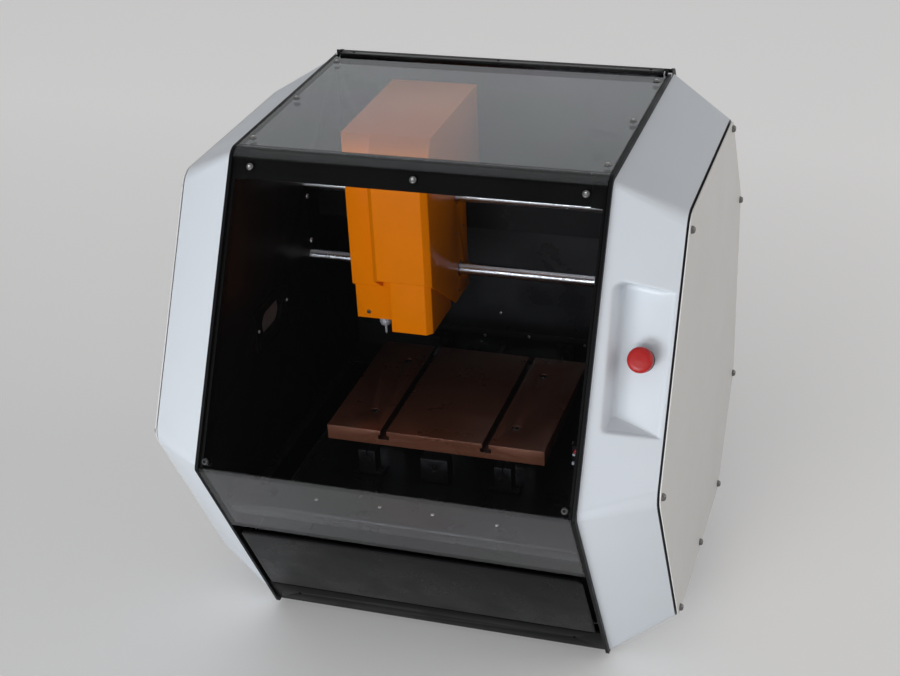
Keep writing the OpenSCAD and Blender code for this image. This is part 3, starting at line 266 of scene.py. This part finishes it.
finishes = {
    # the shell's end face and seat carry the painted shade of the groove round the side cover
    "shell": coated("shellWhite", (0.672, 0.706, 0.752), 0.42, (2200.0, 0.00004), drift=0.012,
        shadeBeyond=shellEnd),
    "cover": coated("coverWhite", (0.722, 0.71, 0.695), 0.45, (2200.0, 0.00004), drift=0.012),
    "black": coated("blackPowder", (0.007, 0.007, 0.0075), 0.24, drift=0.10, gleam=0.10),
    "wall": coated("wallPowder", (0.007, 0.007, 0.0075), 0.38, drift=0.10, gleam=0.06),
    "rail": coated("railBlack", (0.004, 0.004, 0.004), 0.50, drift=0.10, gleam=0.06),
    "pan": coated("darkPan", (0.009, 0.009, 0.010), 0.32, drift=0.10, gleam=0.25),
    "slide": coated("slideGrey", (0.05, 0.05, 0.054), 0.40, drift=0.10),
    # the drawer front's foot carries a painted shadow of the gap beneath it
    "drawer": coated("drawerBlack", (0.006, 0.006, 0.0065), 0.30, drift=0.08, gleam=0.06,
        shadeBelow=drawerFoot),
    "strip": coated("stripBlack", (0.006, 0.006, 0.0065), 0.34, drift=0.08, gleam=0.05),
    "orange": coated("orangePaint", (0.90, 0.225, 0.0005), 0.22, (1600.0, 0.00002), drift=0.025,
        smudge=0.04, gleam=0.12),
    # the table's top face and slots carry painted shade
    "table": coated("tableBrown", (0.180, 0.068, 0.038), 0.32, (2600.0, 0.00002), drift=0.04, metallic=0.4,
        slots=tableSlots),
    "rod": brushed("groundRod", (0.72, 0.73, 0.75), 0.10, roundRod["x"], 4000.0, 0.0007),
    "rodY": brushed("groundRodY", (0.72, 0.73, 0.75), 0.10, roundRod["y"], 4000.0, 0.00004),
    "rodZ": brushed("groundRodZ", (0.70, 0.71, 0.73), 0.12, roundRod["z"], 4000.0, 0.00004),
    "aluminium": brushed("bareAluminium", (0.50, 0.51, 0.53), 0.38, (1, 12, 12), height=0.00001, drift=0.08),
    "zinc": brushed("zincScrew", (0.48, 0.48, 0.49), 0.26, (6, 6, 6), height=0.000004),
    "plastic": coated("blackPlastic", (0.020, 0.020, 0.022), 0.42),
    "anodised": coated("anodisedBlack", (0.007, 0.007, 0.008), 0.36, (2600.0, 0.00002), metallic=0.3),
    "motor": coated("motorBlack", (0.020, 0.020, 0.023), 0.45, (1800.0, 0.00004)),
    "rubber": coated("rubberBlack", (0.020, 0.020, 0.020), 0.75, (2000.0, 0.00006)),
    "red": coated("capRed", (0.41, 0.010, 0.010), 0.42, softGrain, drift=0.04, coat=0.03, smudge=0.05,
        gleam=0.35),
    "nickel": coated("nickelPlate", (0.62, 0.62, 0.63), 0.28, softGrain, metallic=0.55),
    "redPlug": coated("plugRed", (0.50, 0.012, 0.02), 0.4, softGrain),
    "whitePlug": coated("plugWhite", (0.60, 0.62, 0.66), 0.4, softGrain),
    # painted shade inside the screws' hex sockets
    "socket": coated("socketShade", (0.010, 0.010, 0.010), 0.6, softGrain, gleam=0.1),
    "dull": brushed("dullScrew", (0.17, 0.165, 0.16), 0.34, (6, 6, 6), height=0.000004),
    "bright": brushed("brightScrew", (0.80, 0.80, 0.81), 0.30, (6, 6, 6), height=0.000004),
    "port": coated("portGrey", (0.13, 0.13, 0.13), 0.38, drift=0.2),
    "board": coated("boardGreen", (0.012, 0.10, 0.05), 0.35, softGrain),
    # the top pane's front edge carries the painted shade of the seam
    "topPane": smoked("smokedTop", (0.90, 0.91, 0.92), 0.006, 0.03, paneFront),
    "frontPane": smoked("smokedFront", (0.93, 0.93, 0.94), 0.001, 0.02),
}
nodeFinish = {
    "shell": ["left_shell", "right_shell"],
    "cover": ["left_side_cover", "right_side_cover"],
    "wall": ["left_side_plate", "right_side_plate"],
    "black": ["rear_panel", "hinge_bar", "screw_shroud", "port_frame", "base_pan"],
    "rail": ["hood_rails", "hood_band"],
    "pan": ["chamber_pan", "rear_wall"],
    "slide": ["tray", "carriage", "saddle", "z_plate"],
    "drawer": ["tray_front"],
    "strip": ["front_strip"],
    "orange": ["upper_cover", "lower_cover"],
    "table": ["table"],
    "rod": ["x_rods", "x_screw"],
    "rodY": ["y_rods", "y_screw"],
    "rodZ": ["z_rails", "z_screw"],
    "nickel": ["spindle", "cutter"],
    "aluminium": ["x_bearings", "y_bearings", "spindle_block", "motor_pulley", "supply"],
    "anodised": ["rod_flanges", "y_rod_blocks", "limit_post"],
    "zinc": ["hinge_pins", "cover_screws", "drawer_runners", "hood_screws"],
    "plastic": ["stop_base", "power_inlet", "power_switch", "stop_plunger"],
    "motor": ["x_motor", "y_motor", "z_motor", "spindle_motor"],
    "rubber": ["feet", "drive_belt"],
    "red": ["stop_cap"],
    "board": ["control_board"],
    "topPane": ["top_pane"],
    "frontPane": ["front_pane"],
}
for finish, names in nodeFinish.items():
    for name in names:
        slots = nodes[name].data.materials
        slots.clear()
        slots.append(finishes[finish])
print("finishes set")


# CAD nodes shown with rounded edges, and how wide each rounding is
softEdges = {
    "left_shell": 0.0020, "right_shell": 0.0020, "left_side_cover": 0.0004, "right_side_cover": 0.0004,
    "upper_cover": 0.0008, "lower_cover": 0.0008, "tray_front": 0.0010, "table": 0.0006, "hinge_bar": 0.0005,
    "front_strip": 0.0006, "left_side_plate": 0.0003, "right_side_plate": 0.0003,
    "y_rod_blocks": 0.0007, "chamber_pan": 0.0005, "stop_base": 0.0004,
}
# points closer than merge become one; angles are in degrees
edging = {"merge": 0.00001, "flatAngle": 0.6, "roundAngle": 24, "sharpAngle": 32, "segments": 3}


# a new object from finished mesh work; one that is only a pattern for others stays out of the scene
def makeObject(name, work, shown=True):
    mesh = bpy.data.meshes.new(name)
    work.to_mesh(mesh)
    work.free()
    made = bpy.data.objects.new(name, mesh)
    if shown:
        scene.collection.objects.link(made)
    return made


# turns the result of a piece's modifiers into its plain mesh
def applyModifiers(piece):
    ready = bpy.data.meshes.new_from_object(piece.evaluated_get(bpy.context.evaluated_depsgraph_get()))
    piece.modifiers.clear()
    piece.data = ready


def merged(name):
    work = bmesh.new()
    work.from_mesh(nodes[name].data)
    bmesh.ops.remove_doubles(work, verts=work.verts, dist=edging["merge"])
    return work


def cleaned(name):
    work = merged(name)
    bmesh.ops.dissolve_limit(work, angle_limit=math.radians(edging["flatAngle"]), verts=work.verts,
        edges=work.edges)
    return work


def bevelled(work, name, width):
    piece = makeObject(name + "Soft", work)
    for material in nodes[name].data.materials:
        piece.data.materials.append(material)
    bevel = piece.modifiers.new("edges", "BEVEL")
    bevel.width = width
    bevel.segments = edging["segments"]
    bevel.limit_method = "ANGLE"
    bevel.angle_limit = math.radians(edging["roundAngle"])
    bevel.use_clamp_overlap = True
    applyModifiers(piece)
    return piece


def settle(piece, name):
    for face in piece.data.polygons:
        face.use_smooth = True
    piece.data.set_sharp_from_angle(angle=math.radians(edging["sharpAngle"]))
    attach(piece, bodyOf[name])
    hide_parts(name)


for name, width in softEdges.items():
    if name != "right_shell":
        settle(bevelled(cleaned(name), name, width), name)
print("edges rounded:", len(softEdges) - 1)

# the front slope: its outward direction and the way down it
slopeOut = (0, -0.868, 0.496)
slopeDown = (0, -0.496, -0.868)
# the hood's side rails: flange kept beyond the band, length of the step to it, rounding, and tolerance
rails = {"kept": 0.0036, "step": 0.0006, "soft": 0.0002, "near": 0.0005}


# the rails' inner flange is narrowed to a lip wherever the band doesn't cover it
def narrowRails(name):
    work = cleaned(name)
    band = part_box("hood_band")
    cuts = [(Vector((0, band[0][1], band[0][2])), Vector(slopeDown)),
        (Vector((0, band[1][1], 0)), Vector((0, 1, 0)))]
    for spot, way in cuts:
        for step in (0.0, rails["step"]):
            bmesh.ops.bisect_plane(work, geom=work.verts[:] + work.edges[:] + work.faces[:],
                plane_co=spot + way * step, plane_no=way)
    inner = min(abs(v.co.x) for v in work.verts)
    outer = max(abs(v.co.x) for v in work.verts)
    for vert in work.verts:
        past = any((vert.co - spot).dot(way) > rails["near"] for spot, way in cuts)
        if past and abs(vert.co.x) < inner + rails["near"]:
            vert.co.x = math.copysign(outer - rails["kept"], vert.co.x)
    settle(bevelled(work, name, rails["soft"]), name)
    print("rails narrowed from", round(outer - inner, 4), "to", rails["kept"])


# pocket of the right shell: the CAD's outline and depth, with a soft lip and a cove down to its floor
pocket = {
    "edge": 0.2325, "top": (-0.151, 0.659), "foot": (-0.339, 0.330),    # slope: inner edge, ends in y and z
    "fall": 0.048 / 0.0835, "depth": 0.0448,    # the slope's fall sideways, and how deep the floor is
    "x0": 0.0105, "lean": 0.004, "low": 0.393, "height": 0.144, "rise": 0.020, "topRise": 0.026,    # outline
    "over": 0.02,    # the outline's spare length past the place where the floor runs out
    "corner": 0.009, "lip": 0.004, "cove": 0.006, "slant": 0.08,
    "lipStart": 0.7, "mostLip": 0.4, "mostCove": 0.5,    # shares of the lip and of the depth
    "fade": (0.072, 0.0795), "blur": 0.0025,    # where the floor runs out through the slope
    "push": (0.796, -0.358),    # which way in y, z each bit of depth goes
    "hole": 0.0113, "snap": 0.00065,    # the stop button's hole, and how near it points move onto its edge
    "rows": 300, "columns": 76, "endWeight": 0.3,
    "onFace": 0.0002, "onFloor": 0.0003, "onRim": 0.0006,    # tolerances
}


class Pocket:
    def __init__(self, facts):
        self.facts = facts
        self.top = Vector(facts["top"])
        self.along = (Vector(facts["foot"]) - self.top).normalized()
        self.out = Vector((self.along.y, -self.along.x))
        stop = next(j for j in frame["record"]["behaviour"]["joints"] if j["name"] == "stop_twist")
        self.stopAt = Vector(stop["pos_m"])
        self.stopWay = Vector(stop["axis"]).normalized()
        run = facts["depth"] / facts["fall"] - facts["x0"]
        left = facts["x0"]
        right = left + (run + facts["over"])
        low, high = facts["low"], facts["low"] + facts["height"]
        self.stretch = -1 / self.along.y
        corners = [(left + facts["lean"], low + facts["rise"] * (run - facts["lean"]) / run),
            (right, low - facts["rise"] * facts["over"] / run),
            (right, high - facts["topRise"] * facts["over"] / run),
            (left, high + facts["topRise"])]
        self.corners = self.inset([Vector((x, z * self.stretch)) for x, z in corners], facts["corner"])

    # each side of a convex outline moved in by its own normal
    def inset(self, points, step):
        lines = []
        for a, b in zip(points, points[1:] + points[:1]):
            way = (b - a).normalized()
            lines.append((a + Vector((-way.y, way.x)) * step, way))
        moved = []
        for (p, u), (q, v) in zip(lines[-1:] + lines[:-1], lines):
            moved.append(p + u * ((q - p).cross(v) / u.cross(v)))
        return moved

    # distance outside the rounded outline; negative inside
    def beyond(self, x, z):
        spot = Vector((x, z * self.stretch))
        inside, near = True, 1.0
        for a, b in zip(self.corners, self.corners[1:] + self.corners[:1]):
            way = b - a
            if way.cross(spot - a) < 0:
                inside = False
            t = max(0.0, min(1.0, (spot - a).dot(way) / way.length_squared))
            near = min(near, (spot - a - way * t).length)
        return (-near if inside else near) - self.facts["corner"]

    # how far a point is down the slope's inner edge, and how far out of it
    def onLine(self, p):
        flat = Vector((p.y, p.z)) - self.top
        return flat.dot(self.along), flat.dot(self.out)

    # height above the sloping face
    def above(self, p):
        return self.onLine(p)[1] + self.facts["fall"] * (p.x - self.facts["edge"])

    def onFace(self, p):
        return abs(self.above(p)) < self.facts["onFace"]

    # on the CAD pocket's own walls or floor
    def inPocket(self, p):
        deepest = -self.facts["depth"] - self.facts["onFloor"]
        return (self.above(p) < self.facts["onFace"] and self.onLine(p)[1] > deepest
            and self.beyond(p.x - self.facts["edge"], p.z) < self.facts["onRim"])

    # a point's way off the stop button's axis
    def offAxis(self, p):
        away = Vector(p) - self.stopAt
        return away - self.stopWay * away.dot(self.stopWay)

    # points near the button's hole are moved onto its edge
    def clear(self, p):
        off = self.offAxis(p)
        if abs(off.length - self.facts["hole"]) > self.facts["snap"]:
            return Vector(p)
        return Vector(p) + off * (self.facts["hole"] / off.length - 1)

    # how far a point of the sloping face goes back
    def depth(self, x, z):
        facts = self.facts
        full = facts["depth"] / -self.out.x - x * facts["fall"] / -self.out.x
        full = 0.5 * (full + math.sqrt(full * full + facts["blur"] ** 2))
        full *= 1 - smooth(x, *facts["fade"])
        lip = min(facts["lip"], full * facts["mostLip"])
        cove = min(facts["cove"], full * facts["mostCove"])
        wall = full - lip - cove
        slant = wall * facts["slant"]
        t = lip * facts["lipStart"] - self.beyond(x, z)
        if t <= 0 or full <= 0:
            return 0.0
        if t < lip:
            return lip - math.sqrt(max(lip * lip - t * t, 0))
        if t < lip + slant:
            return lip + wall * (t - lip) / slant
        if t < lip + slant + cove:
            return full - cove + math.sqrt(max(cove * cove - (lip + slant + cove - t) ** 2, 0))
        return full


def smooth(x, low, high):
    t = max(0.0, min(1.0, (x - low) / (high - low)))
    return t * t * (3 - 2 * t)


# the corners of the broad sloping face, as the two ends of its left and of its right edge
def faceCorners(form, spots):
    places = [(p.x, form.onLine(p)[0]) for p in spots]
    middleX = sum(x for x, s in places) / len(places)
    middleS = sum(s for x, s in places) / len(places)
    found = []
    for sideX, sideS in ((-1, -1), (-1, 1), (1, -1), (1, 1)):
        weight = sideS * pocket["endWeight"]
        reach = [sideX * (x - middleX) + weight * (s - middleS) for x, s in places]
        found.append(spots[reach.index(max(reach))])
    return found


# the shell's face is closed over the CAD pocket, then made again as a grid that goes back into it
def mouldPocket(name, width):
    form = Pocket(pocket)
    work = cleaned(name)
    gone = [face for face in work.faces if all(form.onFace(v.co) for v in face.verts)
        or all(form.inPocket(v.co) for v in face.verts)]
    bmesh.ops.delete(work, geom=gone, context="FACES")
    rim = [edge for edge in work.edges if edge.is_boundary and all(form.onFace(v.co) for v in edge.verts)]
    bmesh.ops.contextual_create(work, geom=rim)
    print("pocket faces taken out:", len(gone), "rim edges:", len(rim))
    piece = bevelled(work, name, width)
    work = bmesh.new()
    work.from_mesh(piece.data)
    sloping = [face for face in work.faces if all(form.onFace(v.co) for v in face.verts)]
    broad = max(sloping, key=lambda face: face.calc_area())
    leftTop, leftFoot, rightTop, rightFoot = faceCorners(form, [v.co.copy() for v in broad.verts])
    bmesh.ops.delete(work, geom=[broad], context="FACES_ONLY")
    rows, columns = pocket["rows"], pocket["columns"]
    backY, backZ = pocket["push"]
    grid = []
    for r in range(rows + 1):
        left = leftTop.lerp(leftFoot, r / rows)
        right = rightTop.lerp(rightFoot, r / rows)
        line = []
        for c in range(columns + 1):
            p = left.lerp(right, c / columns)
            border = r in (0, rows) or c in (0, columns)
            back = 0.0 if border else form.depth(p.x - pocket["edge"], p.z)
            line.append(work.verts.new(form.clear((p.x, p.y + back * backY, p.z + back * backZ))))
        grid.append(line)
    for r in range(rows):
        for c in range(columns):
            cell = (grid[r][c], grid[r + 1][c], grid[r + 1][c + 1], grid[r][c + 1])
            if any(form.offAxis(v.co).length > pocket["hole"] + edging["merge"] for v in cell):
                work.faces.new(cell)
    bmesh.ops.delete(work, geom=[v for v in work.verts if not v.link_faces], context="VERTS")
    work.to_mesh(piece.data)
    work.free()
    settle(piece, name)
    print("pocket moulded:", len(piece.data.polygons), "faces")


mouldPocket("right_shell", softEdges["right_shell"])
narrowRails("hood_rails")

# screw heads as rings of radius and height for a head 1 wide, with the size of their hexagonal socket
headShapes = {
    "button": {"rings": [(0.5, 0.0), (0.495, 0.07), (0.46, 0.15), (0.39, 0.215), (0.31, 0.25)],
        "socket": 0.23, "deep": 0.15},
    "cap": {"rings": [(0.5, 0.0), (0.5, 0.24), (0.47, 0.28), (0.40, 0.28)], "socket": 0.28, "deep": 0.18},
}
headSides = 28


# one loop of a head's mesh: a circle, or the hexagon of its socket
def headLoop(work, radius, height, hexagonal):
    loop = []
    for k in range(headSides):
        turn = math.tau * k / headSides
        reach = radius
        if hexagonal:
            reach = radius * math.cos(math.pi / 6) / math.cos((turn % (math.pi / 3)) - math.pi / 6)
        loop.append(work.verts.new((reach * math.cos(turn), reach * math.sin(turn), height)))
    return loop


# a head whose socket faces are marked, so that the socket can take its own finish: painted shade, or a
# painted glint
def headMesh(name, rings, socket, deep):
    work = bmesh.new()
    dark = work.faces.layers.bool.new("socket")
    top = rings[-1][1]
    loops = [headLoop(work, radius, height, False) for radius, height in rings]
    loops += [headLoop(work, socket, height, True) for height in (top, top - deep)]
    for n, (a, b) in enumerate(zip(loops, loops[1:])):
        for k in range(headSides):
            after = (k + 1) % headSides
            face = work.faces.new((a[k], a[after], b[after], b[k]))
            face.smooth = n < len(rings) - 1
            face[dark] = n >= len(rings)
    work.faces.new(loops[-1])[dark] = True
    work.faces.new(list(reversed(loops[0])))
    return makeObject(name, work, shown=False)


# puts a head on each point, with the point's own turn and size, and gives it its two materials
def headTree():
    group = bpy.data.node_groups.new("headsOnPoints", "GeometryNodeTree")
    for name, kind, way in (("Points", "Geometry", "INPUT"), ("Head", "Object", "INPUT"),
            ("Metal", "Material", "INPUT"), ("Socket", "Material", "INPUT"),
            ("Heads", "Geometry", "OUTPUT")):
        group.interface.new_socket(name, in_out=way, socket_type="NodeSocket" + kind)
    tree = Graph(group, "NodeGroupOutput")
    given = {socket.name: Value(group, socket) for socket in group.nodes.new("NodeGroupInput").outputs}

    def perPoint(name, kind):
        return tree.add("GeometryNodeInputNamedAttribute", {"data_type": kind}, "Attribute", Name=name)

    head = tree.add("GeometryNodeObjectInfo", out="Geometry", Object=given["Head"])
    turned = tree.add("FunctionNodeEulerToRotation", i0=perPoint("turn", "FLOAT_VECTOR"))
    placed = tree.add("GeometryNodeInstanceOnPoints", Points=given["Points"], Instance=head, Rotation=turned,
        Scale=perPoint("size", "FLOAT_VECTOR"))
    solid = tree.add("GeometryNodeRealizeInstances", Geometry=placed)
    bare = tree.add("GeometryNodeSetMaterial", Geometry=solid, Material=given["Metal"])
    done = tree.add("GeometryNodeSetMaterial", Geometry=bare, Selection=perPoint("socket", "BOOLEAN"),
        Material=given["Socket"])
    tree.show(done, "Heads")
    return group


heads = {kind: headMesh(kind + "Head", **shape) for kind, shape in headShapes.items()}
headGroup = headTree()
turnStep = 0.7    # each head's socket is turned a little further than the last one's


# points is a list of (place, outward direction, diameter, height); gives one mesh
def putHeads(name, kind, points, metal, body, socket="socket"):
    mesh = bpy.data.meshes.new(name + "Points")
    mesh.from_pydata([p for p, way, across, tall in points], [], [])
    turn = mesh.attributes.new("turn", "FLOAT_VECTOR", "POINT")
    size = mesh.attributes.new("size", "FLOAT_VECTOR", "POINT")
    full = max(v.co.z for v in heads[kind].data.vertices)
    for n, (p, way, across, tall) in enumerate(points):
        lean = Vector(way).to_track_quat("Z", "Y") @ Euler((0, 0, n * turnStep)).to_quaternion()
        turn.data[n].vector = lean.to_euler()
        size.data[n].vector = (across, across, tall / full)
    piece = bpy.data.objects.new(name, mesh)
    scene.collection.objects.link(piece)
    maker = piece.modifiers.new("heads", "NODES")
    maker.node_group = headGroup
    given = {"Head": heads[kind], "Metal": finishes[metal], "Socket": finishes[socket]}
    for item in headGroup.interface.items_tree:
        if item.in_out == "INPUT" and item.name in given:
            maker[item.identifier] = given[item.name]
    applyModifiers(piece)
    for held in list(piece.data.attributes):
        if held.name in ("turn", "size", "socket"):
            piece.data.attributes.remove(held)
    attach(piece, body)
    print("heads:", name, len(points), "faces", len(piece.data.polygons))
    return piece


# the points of each separate solid of a CAD node, in the mesh's order, so that every run gives the same
def separateSolids(name):
    work = merged(name)
    left = set(work.verts)
    found = []
    for first in work.verts:
        if first not in left:
            continue
        left.remove(first)
        stack = [first]
        solid = []
        while stack:
            vert = stack.pop()
            solid.append(vert.co.copy())
            for edge in vert.link_edges:
                other = edge.other_vert(vert)
                if other in left:
                    left.remove(other)
                    stack.append(other)
        found.append(solid)
    work.free()
    return found


# the CAD's screws as foot, direction, diameter and height; a screw is shortest along its own direction
def screwsOf(name, waysAt):
    points = []
    for solid in separateSolids(name):
        middle = sum(solid, Vector()) / len(solid)
        spans = []
        for way in waysAt(middle):
            way = Vector(way).normalized()
            along = [p.dot(way) for p in solid]
            spans.append((max(along) - min(along), way, min(along)))
        tall, way, low = min(spans, key=lambda span: span[0])
        across = 2 * max((p - middle - way * (p - middle).dot(way)).length for p in solid)
        points.append((middle + way * (low - middle.dot(way)), way, across, tall))
    return points


# points for screws that differ only in their place
def alike(screws):
    return [(place, screws["way"], screws["wide"], screws["tall"]) for place in screws["places"]]


# the hood's screws: the lowest ones get black plastic as painted shade, and each has a nut behind the sheet
hoodFixing = {"shadeBelow": 0.36, "sheet": 0.0040, "nutWide": 0.0105, "nutTall": 0.0058, "nutRoom": 0.0062}
hoodScrews = screwsOf("hood_screws", lambda p: [(0, 0, 1), slopeOut])
highScrews = [screw for screw in hoodScrews if screw[0].z > hoodFixing["shadeBelow"]]
# painted shade: the hood screws below this height are made black
shadedScrews = [screw for screw in hoodScrews if screw[0].z <= hoodFixing["shadeBelow"]]
# painted glint: the upper hood heads are a dark copy of the screw metal, with a bright copy in the socket
hoodHeads = putHeads("hoodHeads", "button", highScrews, "dull", "hood", "bright")
shadedHeads = putHeads("hoodHeadsLow", "button", shadedScrews, "plastic", "hood")
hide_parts("hood_screws")
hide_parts("hood_screws")
nutBack = hoodFixing["sheet"] + hoodFixing["nutRoom"]
nuts = [(p - Vector(way) * nutBack, way, hoodFixing["nutWide"], hoodFixing["nutTall"])
    for p, way, across, tall in hoodScrews]
putHeads("hoodNuts", "cap", nuts, "rail", "hood")
coverScrews = screwsOf("cover_screws", lambda p: [(math.copysign(1, p.x), 0, 0)])
coverHeads = putHeads("coverHeads", "button", coverScrews, "dull", "base")
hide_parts("cover_screws")

# small screws that the CAD leaves out, by where they are
chamberScrews = []
for side in (-1, 1):
    chamberScrews += alike({"way": (-side, 0, 0), "wide": 0.0072, "tall": 0.0022,
        "places": [(side * 0.2285, 0.0487, z) for z in (0.5165, 0.4520)]})
    chamberScrews += alike({"way": (0, 0, 1), "wide": 0.0046, "tall": 0.0014,
        "places": [(side * x, y, 0.251) for x, y in ((0.116, -0.2625), (0.034, -0.2595))]})
chamberScrews += alike({"way": (0, -1, 0), "wide": 0.0046, "tall": 0.0014, "places": [
    (-0.0071, 0.194, 0.2917), (-0.0318, 0.192, 0.2539), (0.0343, 0.192, 0.2585), (0.1167, 0.192, 0.2537),
    (-0.1560, 0.192, 0.2539)]})
chamberScrews += alike({"way": (1, 0, 0), "wide": 0.0044, "tall": 0.0014,
    "places": [(-0.2255, y, 0.413) for y in (-0.146, -0.054)]})
housingScrews = {"way": (1, 0, 0), "wide": 0.0036, "tall": 0.0010,
    "places": [(-0.017, 0.0664, 0.4861), (-0.017, 0.0395, 0.4852), (-0.017, 0.0689, 0.4041),
        (-0.017, 0.037, 0.4047)]}
noseScrew = {"way": (0, -1, 0), "wide": 0.0058, "tall": 0.0016, "places": [(-0.1153, -0.043, 0.4021)]}
tableBolts = {"way": (0, 0, 1), "wide": 0.0098, "tall": 0.0048,
    "places": [(x, y, 0.2805) for x in (-0.096, 0.096) for y in (-0.0965, 0.0405)]}
putHeads("chamberHeads", "button", chamberScrews, "bright", "base")
putHeads("housingHeads", "button", alike(housingScrews), "dull", bodyOf["upper_cover"])
putHeads("noseHead", "button", alike(noseScrew), "dull", bodyOf["lower_cover"])
putHeads("tableBolts", "cap", alike(tableBolts), "dull", bodyOf["table"])

blockEdge = 0.18    # rounding of a block's edges, as a share of its thinnest side


# a block with softened edges, its middle and full size given
def block(name, middle, size, finish, body):
    work = bmesh.new()
    bmesh.ops.create_cube(work, size=1.0)
    for vert in work.verts:
        vert.co = Vector(middle) + Vector((vert.co.x * size[0], vert.co.y * size[1], vert.co.z * size[2]))
    bmesh.ops.bevel(work, geom=work.edges[:], offset=min(size) * blockEdge, segments=2, profile=0.5,
        affect="EDGES")
    piece = makeObject(name, work)
    piece.data.materials.append(finishes[finish])
    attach(piece, body)


# the flap of the side port and the plugs on the chamber's floor: middle, size, finish and material slot
blocks = {
    "portFlap": ((-0.2332, -0.1000, 0.4130), (0.0014, 0.086, 0.046), "port", "dark_steel"),
    "plugRed": ((0.1745, -0.1000, 0.2640), (0.005, 0.004, 0.0045), "redPlug", "red_plastic"),
    "plugWhiteHigh": ((0.1712, -0.0983, 0.2585), (0.0036, 0.0050, 0.0030), "whitePlug", "shell_white"),
    "plugWhiteLow": ((0.1700, -0.0990, 0.2455), (0.0034, 0.0034, 0.0040), "whitePlug", "shell_white"),
}
for name, (middle, size, finish, slot) in blocks.items():
    block(name, middle, size, finish, "base")
print("fittings made")

# studio: a pale floor, a room that lights evenly, soft lamps
floorLook = {"size": 9.0, "colour": (0.62, 0.615, 0.61), "seen": (0.93, 0.92, 0.91), "glow": 0.26,
    "rough": 0.9, "fade": (-0.6, 1.6), "nearGlow": 0.15}
room = {"colour": (0.97, 0.98, 1.0, 1), "ambient": 0.31, "seen": 0.62, "front": 0.02, "back": 0.78,
    "fade": (-0.74, -0.44)}
lamps = {
    "keyLight": {"power": 57.0, "size": (1.6, 0.7), "spot": (-0.75, -3.4, 0.42), "target": (0, 0, 0.40),
        "colour": (0.92, 0.97, 1.0)},
    "fillLight": {"power": 26.0, "size": (2.2, 2.2), "spot": (3.6, 0.5, 1.2), "target": (0.3, 0, 0.35),
        "colour": (1.0, 0.955, 0.90)},
    "stripLight": {"power": 26.0, "size": (4.0, 0.14), "spot": (-0.2, -3.0, 1.20), "target": (0, 0, 0.45),
        "colour": (1, 1, 1)},
    "topLight": {"power": 1.5, "size": (3.0, 3.0), "spot": (0, 0.3, 3.2), "target": (0, 0, 0.3),
        "colour": (1, 1, 1)},
}


# the floor looks paler to the camera and in gloss than it is to diffuse light, and keeps its shadows
def makeFloor():
    work = bmesh.new()
    bmesh.ops.create_grid(work, x_segments=1, y_segments=1, size=floorLook["size"])
    floor = makeObject("floor", work)
    paper = Finish("floorPaper")
    seen = paper.add("ShaderNodeLightPath", out="Is Camera Ray")
    for ray in ("Is Glossy Ray", "Is Transmission Ray"):
        seen = seen.math("MAXIMUM", paper.add("ShaderNodeLightPath", out=ray))
    far = paper.spread(paper.along("Y"), floorLook["fade"], floorLook["nearGlow"], 1.0)
    paper.surface(Base_Color=paper.blend(seen, floorLook["colour"], floorLook["seen"]),
        Roughness=floorLook["rough"], Emission_Color=paper.blend(seen * far, (0, 0, 0), floorLook["seen"]),
        Emission_Strength=floorLook["glow"])
    floor.data.materials.append(paper.material)


def makeLamp(name, facts):
    lamp = bpy.data.lights.new(name, "AREA")
    lamp.energy = facts["power"]
    lamp.shape = "RECTANGLE"
    lamp.size, lamp.size_y = facts["size"]
    lamp.color = facts["colour"]
    item = bpy.data.objects.new(name, lamp)
    scene.collection.objects.link(item)
    item.location = facts["spot"]
    aim = Vector(facts["target"]) - Vector(facts["spot"])
    item.rotation_euler = aim.to_track_quat("-Z", "Y").to_euler()


# the room lights evenly; in gloss it is dark towards the front, and bright at the sides, rear and ceiling
def makeWorld():
    world = bpy.data.worlds.new("softWorld")
    scene.world = world
    world.use_nodes = True
    sky = Graph(world.node_tree, "ShaderNodeOutputWorld")
    direction = sky.add("ShaderNodeTexCoord", out="Generated")
    toward = sky.add("ShaderNodeSeparateXYZ", out="Y", Vector=direction)
    mirrored = sky.add("ShaderNodeMapRange", {"interpolation_type": "SMOOTHSTEP"}, Value=toward,
        From_Min=room["fade"][0], From_Max=room["fade"][1], To_Min=room["front"], To_Max=room["back"])
    glossy = sky.add("ShaderNodeLightPath", out="Is Glossy Ray")
    straight = sky.add("ShaderNodeLightPath", out="Is Camera Ray")
    ambient = room["ambient"]
    strength = glossy * (mirrored - ambient) + straight * (room["seen"] - ambient) + ambient
    sky.show(sky.add("ShaderNodeBackground", Color=room["colour"], Strength=strength))


makeFloor()
for name, facts in lamps.items():
    makeLamp(name, facts)
makeWorld()

# the camera's place, lens and the directions of its picture
view = {"spot": (0.5964, -1.8170, 1.3814), "lens": 65.83, "sensor": 36.0, "farthest": 50.0,
    "right": (0.953351, 0.298625, -0.044096), "down": (0.10444, -0.463364, -0.879992),
    "ahead": (-0.28322, 0.834336, -0.472938)}
camera = bpy.data.objects.new("camera", bpy.data.cameras.new("camera"))
scene.collection.objects.link(camera)
camera.data.lens = view["lens"]
camera.data.sensor_width = view["sensor"]
camera.data.clip_end = view["farthest"]
turn = Matrix((Vector(view["right"]), -Vector(view["down"]), -Vector(view["ahead"]))).transposed()
camera.matrix_world = Matrix.Translation(view["spot"]) @ turn.to_4x4()
scene.camera = camera
scene.view_settings.view_transform = "Standard"

print("scene ready")
